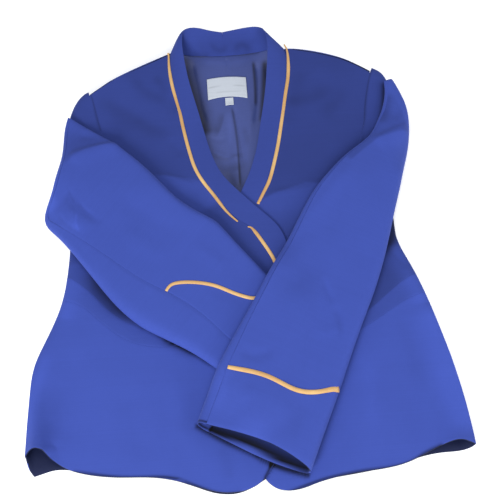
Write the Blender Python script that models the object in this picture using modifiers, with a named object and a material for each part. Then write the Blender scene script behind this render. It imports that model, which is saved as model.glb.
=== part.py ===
"""Flight attendant uniform jacket, laid on its back with the sleeves crossed over the front.

Metres, +Z up. The collar points to +Y and the hem to -Y, and the wearer's right is at -X.
Every piece of cloth is an open sheet with a Solidify wall. A sheet's height above the table
comes from the layers that lie under it, so the pieces stack as they do in the laid jacket.
"""
import math

import bmesh
import bpy
import numpy as np

# Cloth
WALL = 0.0016
SEAM_GAP = 0.00034
SHOULDER_GAP = 0.0006
BACK_SEAM_GAP = 0.0005
LAYER_GAP = 0.0006
REST_GAP = 0.0014
TRIM_LIFT = 0.0004
TRIM_THICKNESS = 0.0010
TRIM_WIDTH = 0.0036
LABEL_THICKNESS = 0.0008

# Body, side outline from hem to shoulder tip: (x, y)
RIGHT_SIDE = [(-0.272, -0.266), (-0.270, -0.205), (-0.263, -0.143), (-0.248, -0.110), (-0.231, -0.066),
              (-0.222, -0.010), (-0.215, 0.060), (-0.196, 0.110), (-0.180, 0.150), (-0.178, 0.182),
              (-0.182, 0.206), (-0.188, 0.231), (-0.193, 0.246)]
LEFT_SIDE = [(0.2635, -0.287), (0.2605, -0.232), (0.255, -0.186), (0.246, -0.140), (0.232, -0.080),
             (0.218, -0.035), (0.204, 0.000), (0.205, 0.050), (0.180, 0.085), (0.163, 0.115),
             (0.166, 0.136), (0.181, 0.166), (0.186, 0.195), (0.193, 0.230), (0.200, 0.257)]
RIGHT_ARMPIT_Y = 0.060
LEFT_ARMPIT_Y = 0.050
ARMPIT_BLEND = 0.030
SIDE_ROUND = 0.011

# Hems: (x, y)
BACK_HEM = [(-0.272, -0.266), (-0.2645, -0.2875), (-0.251, -0.284), (-0.235, -0.279), (-0.214, -0.280),
            (-0.160, -0.296), (-0.106, -0.3005), (-0.078, -0.3105), (-0.045, -0.3240), (-0.014, -0.3235),
            (0.013, -0.3090), (0.036, -0.3265), (0.080, -0.3150), (0.120, -0.3090), (0.170, -0.3045),
            (0.206, -0.292), (0.252, -0.290), (0.2635, -0.287)]
RIGHT_HEM = [(-0.272, -0.266), (-0.266, -0.260), (-0.256, -0.260), (-0.243, -0.271), (-0.216, -0.288),
             (-0.160, -0.298), (-0.105, -0.302), (-0.078, -0.312), (-0.045, -0.326), (-0.014, -0.327),
             (0.009, -0.317), (0.022, -0.297)]
LEFT_HEM = [(0.004, -0.302), (0.010, -0.316), (0.021, -0.327), (0.035, -0.330), (0.080, -0.317),
            (0.120, -0.311), (0.160, -0.308), (0.184, -0.303), (0.205, -0.293), (0.226, -0.286),
            (0.247, -0.282), (0.2635, -0.287)]

# Waist seams of each front, from the wearer's right to the left: (x, y)
RIGHT_WAIST_TOP = [(-0.2225, -0.026), (-0.209, -0.038), (-0.190, -0.055), (-0.173, -0.078),
                   (-0.150, -0.098), (-0.115, -0.112), (-0.060, -0.118), (0.057, -0.112)]
RIGHT_WAIST_LOW = [(-0.2298, -0.060), (-0.205, -0.071), (-0.189, -0.088), (-0.170, -0.107),
                   (-0.146, -0.126), (-0.118, -0.134), (-0.060, -0.133), (0.055, -0.132)]
LEFT_WAIST_TOP = [(-0.022, -0.112), (0.040, -0.120), (0.095, -0.122), (0.146, -0.110), (0.165, -0.095),
                  (0.187, -0.077), (0.208, -0.061), (0.2234, -0.053)]
LEFT_WAIST_LOW = [(-0.022, -0.132), (0.040, -0.140), (0.095, -0.143), (0.138, -0.130), (0.163, -0.117),
                  (0.183, -0.104), (0.210, -0.088), (0.2320, -0.080)]

# Front edges below the facing bands: (x, y), upward
RIGHT_FRONT_EDGE = [(0.022, -0.297), (0.032, -0.254), (0.042, -0.189), (0.055, -0.132), (0.057, -0.112)]
LEFT_FRONT_EDGE = [(0.004, -0.302), (-0.006, -0.260), (-0.016, -0.190), (-0.022, -0.132), (-0.022, -0.112)]

# Shoulder seams, from the tip to the neck, and how far the shoulder edge lies beyond them
RIGHT_SHOULDER = [(-0.193, 0.246), (-0.160, 0.266), (-0.122, 0.287), (-0.0795, 0.3075)]
LEFT_SHOULDER = [(0.085, 0.3075), (0.125, 0.297), (0.160, 0.283), (0.200, 0.258)]
# Top of the back panel: x, outermost y, end y, drop below the fronts' level, length of the curl
BACK_TOP = [
    (-0.1925, 0.2515, 0.2460, 0.0000, 0.010),
    (-0.1600, 0.2765, 0.2660, 0.0000, 0.010),
    (-0.1220, 0.2975, 0.2870, 0.0000, 0.010),
    (-0.0800, 0.3155, 0.3075, 0.0000, 0.009),
    (-0.0745, 0.3130, 0.3090, 0.0125, 0.007),
    (-0.0650, 0.3100, 0.3095, 0.0190, 0.006),
    (-0.0450, 0.3090, 0.3110, 0.0206, 0.006),
    (-0.0010, 0.3090, 0.3110, 0.0208, 0.006),
    (0.0450, 0.3090, 0.3110, 0.0206, 0.006),
    (0.0650, 0.3100, 0.3095, 0.0190, 0.006),
    (0.0770, 0.3130, 0.3090, 0.0125, 0.007),
    (0.0850, 0.3155, 0.3075, 0.0000, 0.009),
    (0.1250, 0.3075, 0.2970, 0.0000, 0.010),
    (0.1600, 0.2935, 0.2830, 0.0000, 0.010),
    (0.1995, 0.2650, 0.2580, 0.0000, 0.010),
]
BACK_EDGE = (0.0, 0.003, 0.010, 0.022, 0.042, 0.070)
BACK_ROWS = 14
# Further columns of the back, where its hem dips behind the fronts' corners
BACK_HEM_COLUMNS = (0.42, 0.45, 0.48, 0.51, 0.54, 0.57, 0.60, 0.64)
CURL_STEPS = (0.3, 0.6, 1.0)

# Collar and facing band: seam (x, y), free edge (x, y), drop of the seam, rise of the free edge
RIGHT_BAND = [
    (0.055, -0.059, 0.064, -0.057, 0.000, 0.000),
    (0.045, -0.021, 0.064, -0.017, 0.000, 0.000),
    (0.032, 0.006, 0.061, 0.007, 0.000, 0.000),
    (0.020, 0.027, 0.053, 0.028, 0.000, 0.000),
    (0.0015, 0.038, 0.0345, 0.048, 0.000, 0.000),
    (-0.0125, 0.054, 0.0225, 0.061, 0.000, 0.000),
    (-0.0265, 0.0775, 0.006, 0.080, 0.000, 0.000),
    (-0.0415, 0.1025, -0.009, 0.098, 0.000, 0.000),
    (-0.0510, 0.125, -0.021, 0.117, 0.000, 0.000),
    (-0.0575, 0.155, -0.032, 0.152, 0.000, 0.000),
    (-0.0630, 0.187, -0.039, 0.190, 0.000, 0.001),
    (-0.0680, 0.222, -0.047, 0.228, 0.000, 0.003),
    (-0.0750, 0.254, -0.055, 0.262, 0.000, 0.006),
    (-0.0785, 0.286, -0.059, 0.295, 0.000, 0.010),
    (-0.0795, 0.3075, -0.061, 0.3185, 0.000, 0.014),
    (-0.075, 0.3145, -0.058, 0.334, 0.003, 0.018),
    (-0.065, 0.3145, -0.049, 0.337, 0.009, 0.020),
    (-0.045, 0.3141, -0.035, 0.337, 0.014, 0.018),
    (-0.022, 0.3138, -0.020, 0.334, 0.0165, 0.0135),
    (-0.001, 0.3137, -0.003, 0.332, 0.017, 0.0115),
]
LEFT_BAND = [
    (-0.005, -0.060, -0.021, -0.058, 0.000, 0.000),
    (0.006, 0.010, -0.019, 0.010, 0.000, 0.000),
    (0.021, 0.052, -0.007, 0.048, 0.000, 0.000),
    (0.036, 0.081, 0.006, 0.081, 0.000, 0.000),
    (0.046, 0.101, 0.020, 0.107, 0.000, 0.000),
    (0.059, 0.147, 0.034, 0.148, 0.000, 0.000),
    (0.067, 0.184, 0.041, 0.188, 0.000, 0.001),
    (0.077, 0.233, 0.050, 0.228, 0.000, 0.003),
    (0.083, 0.260, 0.055, 0.262, 0.000, 0.006),
    (0.0855, 0.286, 0.059, 0.295, 0.000, 0.010),
    (0.0850, 0.3075, 0.060, 0.3175, 0.000, 0.013),
    (0.0765, 0.3140, 0.055, 0.331, 0.003, 0.0155),
    (0.063, 0.3145, 0.047, 0.335, 0.009, 0.0165),
    (0.043, 0.3141, 0.034, 0.335, 0.014, 0.0160),
    (0.021, 0.3138, 0.016, 0.334, 0.0165, 0.0135),
    (-0.001, 0.3137, -0.003, 0.332, 0.017, 0.0115),
]
BAND_ROLL = 0.0013
# Where the roll sets in along y, the columns across a band, and a row where the band lies flat
BAND_ROLL_START = (0.10, 0.16)
BAND_COLUMNS = 5
FLAT_BAND_ROW = 8
# Rows of the band tables that run along the bodice, up to the shoulder
RIGHT_SEAM_ROWS = 15
LEFT_SEAM_ROWS = 11
# Columns of the fronts, from the side fold inward
FRONT_COLUMNS = np.array([0.0, 0.006, 0.020, 0.044, 0.072, 0.105, 0.145, 0.20, 0.30, 0.40, 0.50,
                          0.60, 0.70, 0.80, 0.90, 1.0])
INSET_ROWS = 2
PEPLUM_ROWS = 10
# Rows of the piping along the band: the right one is hidden by a tuck between its two runs
RIGHT_UPPER_PIPING = (*range(4, 15), 14.45)
RIGHT_LOWER_PIPING = (0, 1, 2, 3, 3.3)
LEFT_PIPING = (2.35, *range(3, 11), 10.45)
# Distance over which the slope under the piping is taken
SLOPE_STEP = 0.004

# Height of the fronts' inner face above the table along the body: (y, height)
FRONT_HEIGHT = [(-0.340, 0.0072), (-0.250, 0.0074), (-0.120, 0.0074), (-0.030, 0.0076), (0.050, 0.0090),
                (0.120, 0.0107), (0.180, 0.0118), (0.240, 0.0160), (0.310, 0.0225), (0.345, 0.0245)]
# Height of the side folds above the table: (y, height)
RIGHT_SIDE_HEIGHT = [(-0.300, 0.0170), (-0.262, 0.0140), (-0.220, 0.0090), (-0.160, 0.0060),
                     (0.300, 0.0055)]
LEFT_SIDE_HEIGHT = [(-0.300, 0.0130), (-0.262, 0.0110), (-0.220, 0.0080), (-0.160, 0.0060), (0.300, 0.0055)]
# Soft swellings of the fronts: (x, y, radius along x, radius along y, height)
SWELLS = [
    (-0.165, 0.262, 0.055, 0.034, 0.0070),
    (0.170, 0.262, 0.055, 0.034, 0.0070),
    (-0.085, 0.085, 0.050, 0.042, 0.0045),
    (0.095, 0.095, 0.055, 0.045, 0.0050),
    (-0.259, -0.285, 0.013, 0.060, 0.0235),
    (0.243, -0.300, 0.024, 0.050, 0.0130),
]
# How much higher the right front lies where the left front is under it, and over which x and y that fades
LAP_HEIGHT = 0.0026
LAP_SIDE = (-0.062, -0.030)
LAP_TOP = (0.092, 0.135)
# Beyond the side folds and armholes, a sheet on the fronts droops to the table over this distance
DROOP = (-0.002, 0.036)
ARMHOLE_STEP = 0.046
RIGHT_ARMHOLE = (0.060, 0.110)
LEFT_ARMHOLE = (0.050, 0.100)

# Sleeve head: y on the armhole seam, outer fold (x, y)
RIGHT_HEAD = [
    (0.2460, -0.1945, 0.2545),
    (0.2390, -0.2030, 0.2505),
    (0.2320, -0.2110, 0.2410),
    (0.2200, -0.2190, 0.2270),
    (0.2070, -0.2225, 0.2120),
    (0.1860, -0.2240, 0.1900),
    (0.1580, -0.2230, 0.1620),
    (0.1200, -0.2200, 0.1280),
]
LEFT_HEAD = [
    (0.2580, 0.2030, 0.2685),
    (0.2500, 0.2150, 0.2635),
    (0.2405, 0.2225, 0.2510),
    (0.2180, 0.2250, 0.2240),
    (0.1950, 0.2270, 0.1970),
    (0.1700, 0.2250, 0.1720),
    (0.1430, 0.2160, 0.1480),
    (0.1100, 0.2050, 0.1200),
]
HEAD_UNDER_HEIGHT = 0.0038
HEAD_ROUND = 0.009
HEAD_COLUMNS = (0.0, 0.35, 0.62, 0.82, 0.94, 1.0)
# How far below the shoulder tip the last rows of a head lie, in rows of the bodice
HEAD_TOP_ROWS = (0.66, 0.33, 0.0)

# Sleeves from the fold at the sleeve head to the cuff: plain fold (x, y), seamed fold (x, y),
# fraction of the width at which the long seam runs, inner height
RIGHT_SLEEVE = [
    (-0.156, 0.160, -0.222, 0.211, 0.950, 0.0085),
    (-0.149, 0.153, -0.227, 0.186, 0.950, 0.0095),
    (-0.142, 0.146, -0.228, 0.147, 0.950, 0.0110),
    (-0.133, 0.137, -0.237, 0.121, 0.950, 0.0110),
    (-0.124, 0.127, -0.243, 0.089, 0.950, 0.0115),
    (-0.116, 0.117, -0.259, 0.055, 0.950, 0.0115),
    (-0.107, 0.106, -0.239, 0.035, 0.940, 0.0110),
    (-0.097, 0.092, -0.220, 0.009, 0.880, 0.0110),
    (-0.085, 0.075, -0.191, -0.034, 0.790, 0.0110),
    (-0.067, 0.058, -0.159, -0.082, 0.720, 0.0115),
    (-0.049, 0.046, -0.132, -0.107, 0.690, 0.0115),
    (-0.032, 0.037, -0.102, -0.126, 0.690, 0.0105),
    (-0.021, 0.024, -0.066, -0.147, 0.710, 0.0088),
    (-0.007, 0.001, -0.037, -0.173, 0.730, 0.0066),
    (0.018, -0.031, -0.007, -0.200, 0.750, 0.0056),
    (0.060, -0.086, 0.014, -0.222, 0.770, 0.0056),
]
LEFT_SLEEVE = [
    (0.227, 0.241, 0.217, 0.238, 0.800, 0.0050),
    (0.2345, 0.216, 0.215, 0.220, 0.850, 0.0065),
    (0.2410, 0.195, 0.209, 0.197, 0.900, 0.0080),
    (0.242, 0.170, 0.199, 0.172, 0.940, 0.0095),
    (0.240, 0.148, 0.190, 0.153, 0.950, 0.0105),
    (0.235, 0.127, 0.172, 0.138, 0.950, 0.0110),
    (0.229, 0.108, 0.150, 0.122, 0.950, 0.0115),
    (0.223, 0.090, 0.126, 0.095, 0.950, 0.0120),
    (0.216, 0.066, 0.104, 0.070, 0.950, 0.0120),
    (0.207, 0.040, 0.087, 0.042, 0.950, 0.0120),
    (0.197, 0.008, 0.072, 0.014, 0.950, 0.0115),
    (0.188, -0.021, 0.057, -0.013, 0.950, 0.0110),
    (0.176, -0.054, 0.038, -0.044, 0.950, 0.0107),
    (0.163, -0.085, 0.016, -0.084, 0.950, 0.0109),
    (0.150, -0.112, -0.002, -0.114, 0.945, 0.0114),
    (0.131, -0.153, -0.020, -0.145, 0.930, 0.0124),
    (0.113, -0.197, -0.039, -0.177, 0.915, 0.0134),
    (0.099, -0.228, -0.051, -0.206, 0.915, 0.0153),
    (0.080, -0.270, -0.060, -0.226, 0.920, 0.0175),
    (0.062, -0.311, -0.066, -0.242, 0.920, 0.0195),
]
SLEEVE_ROUND = 0.009
FOLD_ROUND = 0.009
# Fold of the right sleeve over itself at the upper arm: line (x, y), (x, y) and height
ARM_FOLD = ((-0.232, 0.146), (-0.160, 0.158))
ARM_FOLD_HEIGHT = 0.0050
ARM_FOLD_SOFTNESS = (-0.002, 0.006)
ARM_FOLD_END = (-0.205, -0.165)
# The cuff seams: fraction of the width, and where along the sleeve, counted in rows of its table
RIGHT_CUFF_SEAM = [(0.000, 14.50), (0.170, 14.38), (0.310, 13.90), (0.390, 13.15), (0.470, 12.10),
                   (0.530, 11.30), (0.600, 10.50), (0.695, 10.32)]
# How the left sleeve bridges the right one's edge: where it starts and ends to sink, and its gap
CROSSING_REACH = (0.014, 0.040)
CROSSING_GAP = 0.00165
# Reach along x and y of the swelling over the facing's trim
TRIM_SWELL = (0.040, 0.060)
LEFT_CUFF_SEAM = [(0.000, 16.45), (0.120, 16.68), (0.250, 16.76), (0.370, 16.68), (0.500, 16.45),
                  (0.650, 16.21), (0.800, 16.11), (0.915, 16.04)]
# How far the cuff's upper layer stops short of the mouth and the lower one bows out, in rows
CUFF_SETBACK = 0.30
MOUTH_BOW = 0.15
# How late along the upper sleeve its rows fan out to follow the slanting cuff seam
RIGHT_SPREAD = 1
LEFT_SPREAD = 4
# Gap at the plain fold, and half the gap of the long and the cuff seam as fractions of width and row
FOLD_GAP = 0.0007
SEAM_SHARE = 0.0013
ROW_SHARE = 0.007
# Rows and columns at which the sleeves are sampled; the first row closes them at the sleeve head
START_ROWS = (0.0, 0.07, 0.22, 0.5)
FIRST_ROW_LENGTH = 0.022
SLEEVE_COLUMNS = (0.0, 0.010, 0.032, 0.065, 0.16, 0.28, 0.41, 0.54, 0.67, 0.79, 0.90, 1.0)
UNDER_COLUMNS = (0.0, 0.010, 0.032, 0.065, 0.18, 0.34, 0.50, 0.66, 0.82, 0.935, 0.968, 0.990, 1.0)
TURN_STEPS = (0.12, 0.40, 1.0)
# How near the long seam's meeting point a row of the table may come
ROW_CLEARANCE = 0.3
# Steps across, as a fraction of the width, and along, in rows, over which a sleeve's normal is taken
NORMAL_STEPS = (0.01, 0.05)
# Points along each fold of the right sleeve's outline, and rows searched for its height
OUTLINE_SAMPLES = 31
HEIGHT_SAMPLES = 61

# Lining in the open neck: left (x, y) and right (x, y) edge of each row, upward
LINING = [
    (-0.020, 0.052, 0.026, 0.048),
    (-0.046, 0.100, 0.040, 0.096),
    (-0.060, 0.150, 0.054, 0.150),
    (-0.067, 0.200, 0.063, 0.200),
    (-0.071, 0.250, 0.068, 0.250),
    (-0.070, 0.290, 0.068, 0.290),
    (-0.063, 0.3143, 0.061, 0.3143),
]
LINING_HEIGHT = 0.0024
LINING_NECK_RISE = 0.0006
LINING_SIDE_RISE = 0.0086
LINING_SIDES = (0.035, 0.066)
LINING_ROWS = 13
LINING_COLUMNS = 15
COLLAR_REACH = 0.026
# Folds of the lining: (x at the neck, x at the crossing, half width, height)
LINING_FOLDS = [(-0.043, -0.016, 0.006, 0.0022), (0.001, 0.006, 0.005, 0.0028),
                (0.034, 0.016, 0.006, 0.0022)]
LABEL_CENTRE = (-0.001, 0.2565)
LABEL_SIZE = (0.055, 0.035)
LABEL_COUNTS = (7, 4)
# Distance from the label's middle below which the lining lies smooth, and above which it is free to fold
LABEL_REACH = (0.024, 0.036)
TAB_CENTRE = (0.001, 0.2320)
TAB_SIZE = (0.011, 0.0125)
TAB_COUNTS = (3, 3)
TAG_LIFT = 0.0007

# Colours
CLOTH_BLUE = (0.040, 0.072, 0.420, 1.0)
LINING_BLUE = (0.075, 0.095, 0.330, 1.0)
GOLD = (0.760, 0.480, 0.190, 1.0)
LABEL_WHITE = (0.720, 0.760, 0.880, 1.0)

UP = np.array([0.0, 0.0, 1.0])
DOWN = -UP


def hermite(t, start, end, start_rise, end_rise):
    """Blend smoothly between two values, with the rises that each end's slope makes over the stretch."""
    first = (2 * t ** 3 - 3 * t ** 2 + 1) * start + (t ** 3 - 2 * t ** 2 + t) * start_rise
    second = (3 * t ** 2 - 2 * t ** 3) * end + (t ** 3 - t ** 2) * end_rise
    return first + second


class Curve:
    """A smooth line through a short list of points, read by the fraction of its length."""

    def __init__(self, points, even=False):
        self.points = np.array(points, dtype=float)
        steps = np.linalg.norm(np.diff(self.points[:, :2], axis=0), axis=1)
        if even:
            steps = np.ones(len(self.points) - 1)
        self.knots = np.concatenate([[0.0], np.cumsum(steps)]) / steps.sum()
        self.slopes = np.gradient(self.points, self.knots, axis=0)

    def at(self, fraction):
        """Return the point at a fraction of the curve's length."""
        last = len(self.knots) - 2
        k = int(np.clip(np.searchsorted(self.knots, fraction, side="right") - 1, 0, last))
        span = self.knots[k + 1] - self.knots[k]
        t = (fraction - self.knots[k]) / span
        rises = span * self.slopes[k:k + 2]
        return hermite(t, self.points[k], self.points[k + 1], rises[0], rises[1])


def blend(low, high, value):
    """Rise smoothly from 0 at low to 1 at high."""
    t = min(max((value - low) / (high - low), 0.0), 1.0)
    return t * t * (3.0 - 2.0 * t)


def rounding(distance, width):
    """Rise like a quarter circle from 0 at an edge to 1 at the given width."""
    t = min(max(distance / width, 0.0), 1.0)
    return math.sqrt(1.0 - (1.0 - t) ** 2)


class Profile:
    """A smooth quantity read from a table by its first column."""

    def __init__(self, rows):
        table = np.array(rows, dtype=float)
        self.knots = table[:, 0]
        self.values = table[:, 1]
        self.slopes = np.gradient(self.values, self.knots)

    def at(self, value):
        """Return the quantity, which stays level beyond the table's ends."""
        value = float(np.clip(value, self.knots[0], self.knots[-1]))
        k = int(np.clip(np.searchsorted(self.knots, value, side="right") - 1, 0, len(self.knots) - 2))
        span = self.knots[k + 1] - self.knots[k]
        t = (value - self.knots[k]) / span
        rises = span * self.slopes[k:k + 2]
        return float(hermite(t, self.values[k], self.values[k + 1], rises[0], rises[1]))


class Polyline:
    """Straight runs through a short list of points, read by the fraction of the plan length."""

    def __init__(self, points):
        self.points = np.array(points, dtype=float)
        steps = np.linalg.norm(np.diff(self.points[:, :2], axis=0), axis=1)
        self.knots = np.concatenate([[0.0], np.cumsum(steps)]) / steps.sum()

    def at(self, fraction):
        """Return the point at a fraction of the length."""
        return np.array([np.interp(fraction, self.knots, column) for column in self.points.T])


class Outline:
    """The stretch of a side outline between two heights, read by the fraction of its height."""

    def __init__(self, side, low, high):
        self.side = side
        self.low = low
        self.high = high

    def at(self, fraction):
        """Return the point at a fraction of the stretch."""
        y = self.low + (self.high - self.low) * fraction
        return np.array([self.side.at(y), y])


right_side = Profile([(y, x) for x, y in RIGHT_SIDE])
left_side = Profile([(y, x) for x, y in LEFT_SIDE])
right_side_height = Profile(RIGHT_SIDE_HEIGHT)
left_side_height = Profile(LEFT_SIDE_HEIGHT)
chest = Profile(FRONT_HEIGHT)


def plateau(x, y):
    """Height of the fronts' inner face away from the side folds."""
    height = chest.at(y)
    for cx, cy, rx, ry, rise in SWELLS:
        height += rise * math.exp(-((x - cx) / rx) ** 2 - ((y - cy) / ry) ** 2)
    return height


def lap(x, y):
    """Extra height of the right front where it lies on the left one."""
    return LAP_HEIGHT * blend(*LAP_SIDE, x) * (1.0 - blend(*LAP_TOP, y))


def side_state(x, y):
    """Return the distance to the nearer side fold, its height and how round it is there."""
    if x < 0.0:
        distance = x - right_side.at(y)
        height = right_side_height.at(y)
        armpit = RIGHT_ARMPIT_Y
    else:
        distance = left_side.at(y) - x
        height = left_side_height.at(y)
        armpit = LEFT_ARMPIT_Y
    return distance, height, 1.0 - blend(armpit - ARMPIT_BLEND, armpit, y)


def front_height(x, y):
    """Inner face of the left front, and of the right front where it laps nothing."""
    level = plateau(x, y)
    distance, fold_height, fold = side_state(x, y)
    edge = fold_height + SEAM_GAP / 2
    rounded = edge + (level - edge) * rounding(distance, SIDE_ROUND)
    return level + (rounded - level) * fold


def right_front_height(x, y):
    """Inner face of the right front."""
    return front_height(x, y) + lap(x, y)


def back_height(x, y):
    """Inner face of the back panel, flat on the table and curling up at the side folds."""
    distance, fold_height, fold = side_state(x, y)
    rise = fold_height - SEAM_GAP / 2 - WALL
    return WALL + rise * (1.0 - rounding(distance, SIDE_ROUND)) * fold


def rest_height(x, y):
    """Inner face of a sheet that lies on the fronts, or droops to the table beside them."""
    over = plateau(x, y) + lap(x, y) + 2 * WALL + REST_GAP
    table = WALL + LAYER_GAP
    right = right_side.at(y) - ARMHOLE_STEP * blend(*RIGHT_ARMHOLE, y)
    left = left_side.at(y) + ARMHOLE_STEP * blend(*LEFT_ARMHOLE, y)
    outside = max(right - x, x - left)
    return over + (table - over) * blend(*DROOP, outside)


def polygon_distance(x, y, corners):
    """Distance outside a closed outline, negative inside."""
    start = corners
    end = np.roll(corners, -1, axis=0)
    along = end - start
    to_point = np.array([x, y]) - start
    t = np.clip((to_point * along).sum(axis=1) / (along ** 2).sum(axis=1), 0.0, 1.0)
    nearest = np.linalg.norm(to_point - along * t[:, None], axis=1).min()
    crosses = (start[:, 1] > y) != (end[:, 1] > y)
    slope = np.where(crosses, along[:, 1], 1.0)
    at_x = start[:, 0] + (y - start[:, 1]) * along[:, 0] / slope
    inside = np.count_nonzero(crosses & (x < at_x)) % 2 == 1
    return -nearest if inside else nearest


def material(name, colour, roughness, sheen=0.0):
    """Make a Principled cloth material."""
    made = bpy.data.materials.new(name)
    made.use_nodes = True
    shader = made.node_tree.nodes["Principled BSDF"]
    shader.inputs["Base Color"].default_value = colour
    shader.inputs["Roughness"].default_value = roughness
    shader.inputs["Metallic"].default_value = 0.0
    shader.inputs["Sheen Weight"].default_value = sheen
    return made


def sheet(name, grid, finish, thickness, outward):
    """Make a cloth sheet from rows of points.

    The wall grows from the points to the side that outward points to at the sheet's middle.
    """
    rows, columns = grid.shape[:2]
    mesh = bpy.data.meshes.new(name)
    builder = bmesh.new()
    bmesh.ops.create_grid(builder, x_segments=columns - 1, y_segments=rows - 1, size=1.0)
    order = sorted(builder.verts, key=lambda vert: (round(vert.co.y, 5), round(vert.co.x, 5)))
    for vert, point in zip(order, grid.reshape(-1, 3)):
        vert.co = point
    builder.normal_update()
    builder.faces.ensure_lookup_table()
    middle = order[(rows // 2) * columns + columns // 2]
    if middle.normal.dot(outward) < 0.0:
        bmesh.ops.reverse_faces(builder, faces=builder.faces)
    builder.to_mesh(mesh)
    builder.free()
    mesh.materials.append(finish)
    mesh.shade_smooth()
    item = bpy.data.objects.new(name, mesh)
    collection.objects.link(item)
    item.parent = garment
    wall = item.modifiers.new("Wall", "SOLIDIFY")
    wall.thickness = thickness
    wall.offset = 1.0
    return item


def part_at_seams(grid, sides):
    """Draw the named sides of a flat grid back by half a seam gap."""
    lines = {"left": (grid[:, 0], grid[:, 1]), "right": (grid[:, -1], grid[:, -2]),
             "bottom": (grid[0], grid[1]), "top": (grid[-1], grid[-2])}
    for side in sides:
        line, inner = lines[side]
        along = np.gradient(line, axis=0)
        across = np.stack([-along[:, 1], along[:, 0]], axis=1)
        across /= np.linalg.norm(across, axis=1)[:, None]
        across *= np.sign((across * (inner - line)).sum(axis=1))[:, None]
        line += across * SEAM_GAP / 2
    return grid


def patch(bottom, top, left, right, columns, rows):
    """Fill four flat edge curves with rows of points."""
    grid = np.empty((len(rows), len(columns), 2))
    for i, v in enumerate(rows):
        for j, u in enumerate(columns):
            across = (1 - v) * bottom.at(u) + v * top.at(u)
            up = (1 - u) * left.at(v) + u * right.at(v)
            corners = (1 - v) * ((1 - u) * bottom.at(0) + u * bottom.at(1))
            corners = corners + v * ((1 - u) * top.at(0) + u * top.at(1))
            grid[i, j] = across + up - corners
    return grid


def raise_grid(flat, height):
    """Give each point of a flat grid its height above the table."""
    heights = [[height(x, y) for x, y in row] for row in flat]
    return np.dstack([flat, np.array(heights)])


def neck_edge(front_edge, band, seam_rows):
    """A bodice's inner edge: the front edge, then the seam of the facing band, read row by row."""
    seam = [(row[0], row[1]) for row in band[:seam_rows]]
    end = front_edge[-1]
    return Curve([end, ((end[0] + seam[0][0]) / 2, (end[1] + seam[0][1]) / 2), *seam], even=True)


def build_front(side, seams, outline, neck, rows, height):
    """Three pieces of one front: bodice, waist inset and peplum.

    seams holds the hem, the two waist seams, the shoulder seam and the front edge.
    """
    hem, waist_low, waist_top, shoulder, front_edge = seams
    outer = 0 if side == "right" else -1
    levels = [line[outer][1] for line in (hem, waist_low, waist_top)] + [outline.knots[-1]]
    columns = FRONT_COLUMNS if side == "right" else 1.0 - FRONT_COLUMNS[::-1]

    def piece(part, low, high, level, inner, row_count, seam_sides):
        stretch = Outline(outline, levels[level], levels[level + 1])
        sides = (stretch, inner) if side == "right" else (inner, stretch)
        grid = patch(low, high, *sides, columns, np.linspace(0.0, 1.0, row_count + 1))
        part_at_seams(grid, seam_sides)
        sheet(f"front_{side}_{part}", raise_grid(grid, height), cloth, WALL, UP)

    low, high = Curve(waist_low), Curve(waist_top)
    piece("bodice", high, Polyline(shoulder), 2, neck, rows, ("bottom", "top", "left", "right"))
    piece("inset", low, high, 1, Curve(front_edge[3:]), INSET_ROWS, ("bottom", "top"))
    piece("peplum", Curve(hem), low, 0, Curve(front_edge[:4]), PEPLUM_ROWS, ("top",))


def build_back():
    """The back panel, flat on the table, wrapped forward over the shoulders."""
    table = np.array(BACK_TOP)
    flat_top = Polyline(np.stack([table[:, 0], table[:, 1] - table[:, 4]], axis=1))
    edges = np.array(BACK_EDGE)
    inner = [knot for knot in flat_top.knots if not BACK_HEM_COLUMNS[0] <= knot <= BACK_HEM_COLUMNS[-1]]
    columns = np.unique(np.round(np.concatenate([edges, inner, BACK_HEM_COLUMNS, 1.0 - edges]), 4))
    right = Outline(right_side, BACK_HEM[0][1], flat_top.points[0][1])
    left = Outline(left_side, BACK_HEM[-1][1], flat_top.points[-1][1])
    flat = patch(Curve(BACK_HEM), flat_top, right, left, columns, np.linspace(0.0, 1.0, BACK_ROWS))
    grid = raise_grid(flat, back_height)
    edge = Polyline(table)
    edge.knots = flat_top.knots
    rows = [grid]
    for turn in CURL_STEPS:
        row = []
        for column, start in zip(columns, grid[-1]):
            x, outer_y, end_y, drop, setback = edge.at(column)
            end_z = plateau(x, end_y) - drop
            bulge = outer_y + (outer_y - end_y) / 3
            weights = ((1 - turn) ** 3, 3 * turn * (1 - turn) ** 2, 3 * turn ** 2 * (1 - turn), turn ** 3)
            y = np.dot(weights, (start[1], bulge, bulge, end_y + SHOULDER_GAP))
            z = np.dot(weights, (start[2], start[2], end_z, end_z))
            row.append((start[0], y, z))
        rows.append(np.array([row]))
    sheet("back_panel", np.concatenate(rows), cloth, WALL, DOWN)


def surface_normals(grid):
    """Unit normals of a grid of points, from its rows and columns."""
    normals = np.cross(np.gradient(grid, axis=0), np.gradient(grid, axis=1))
    return normals / np.linalg.norm(normals, axis=2)[:, :, None]


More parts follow.
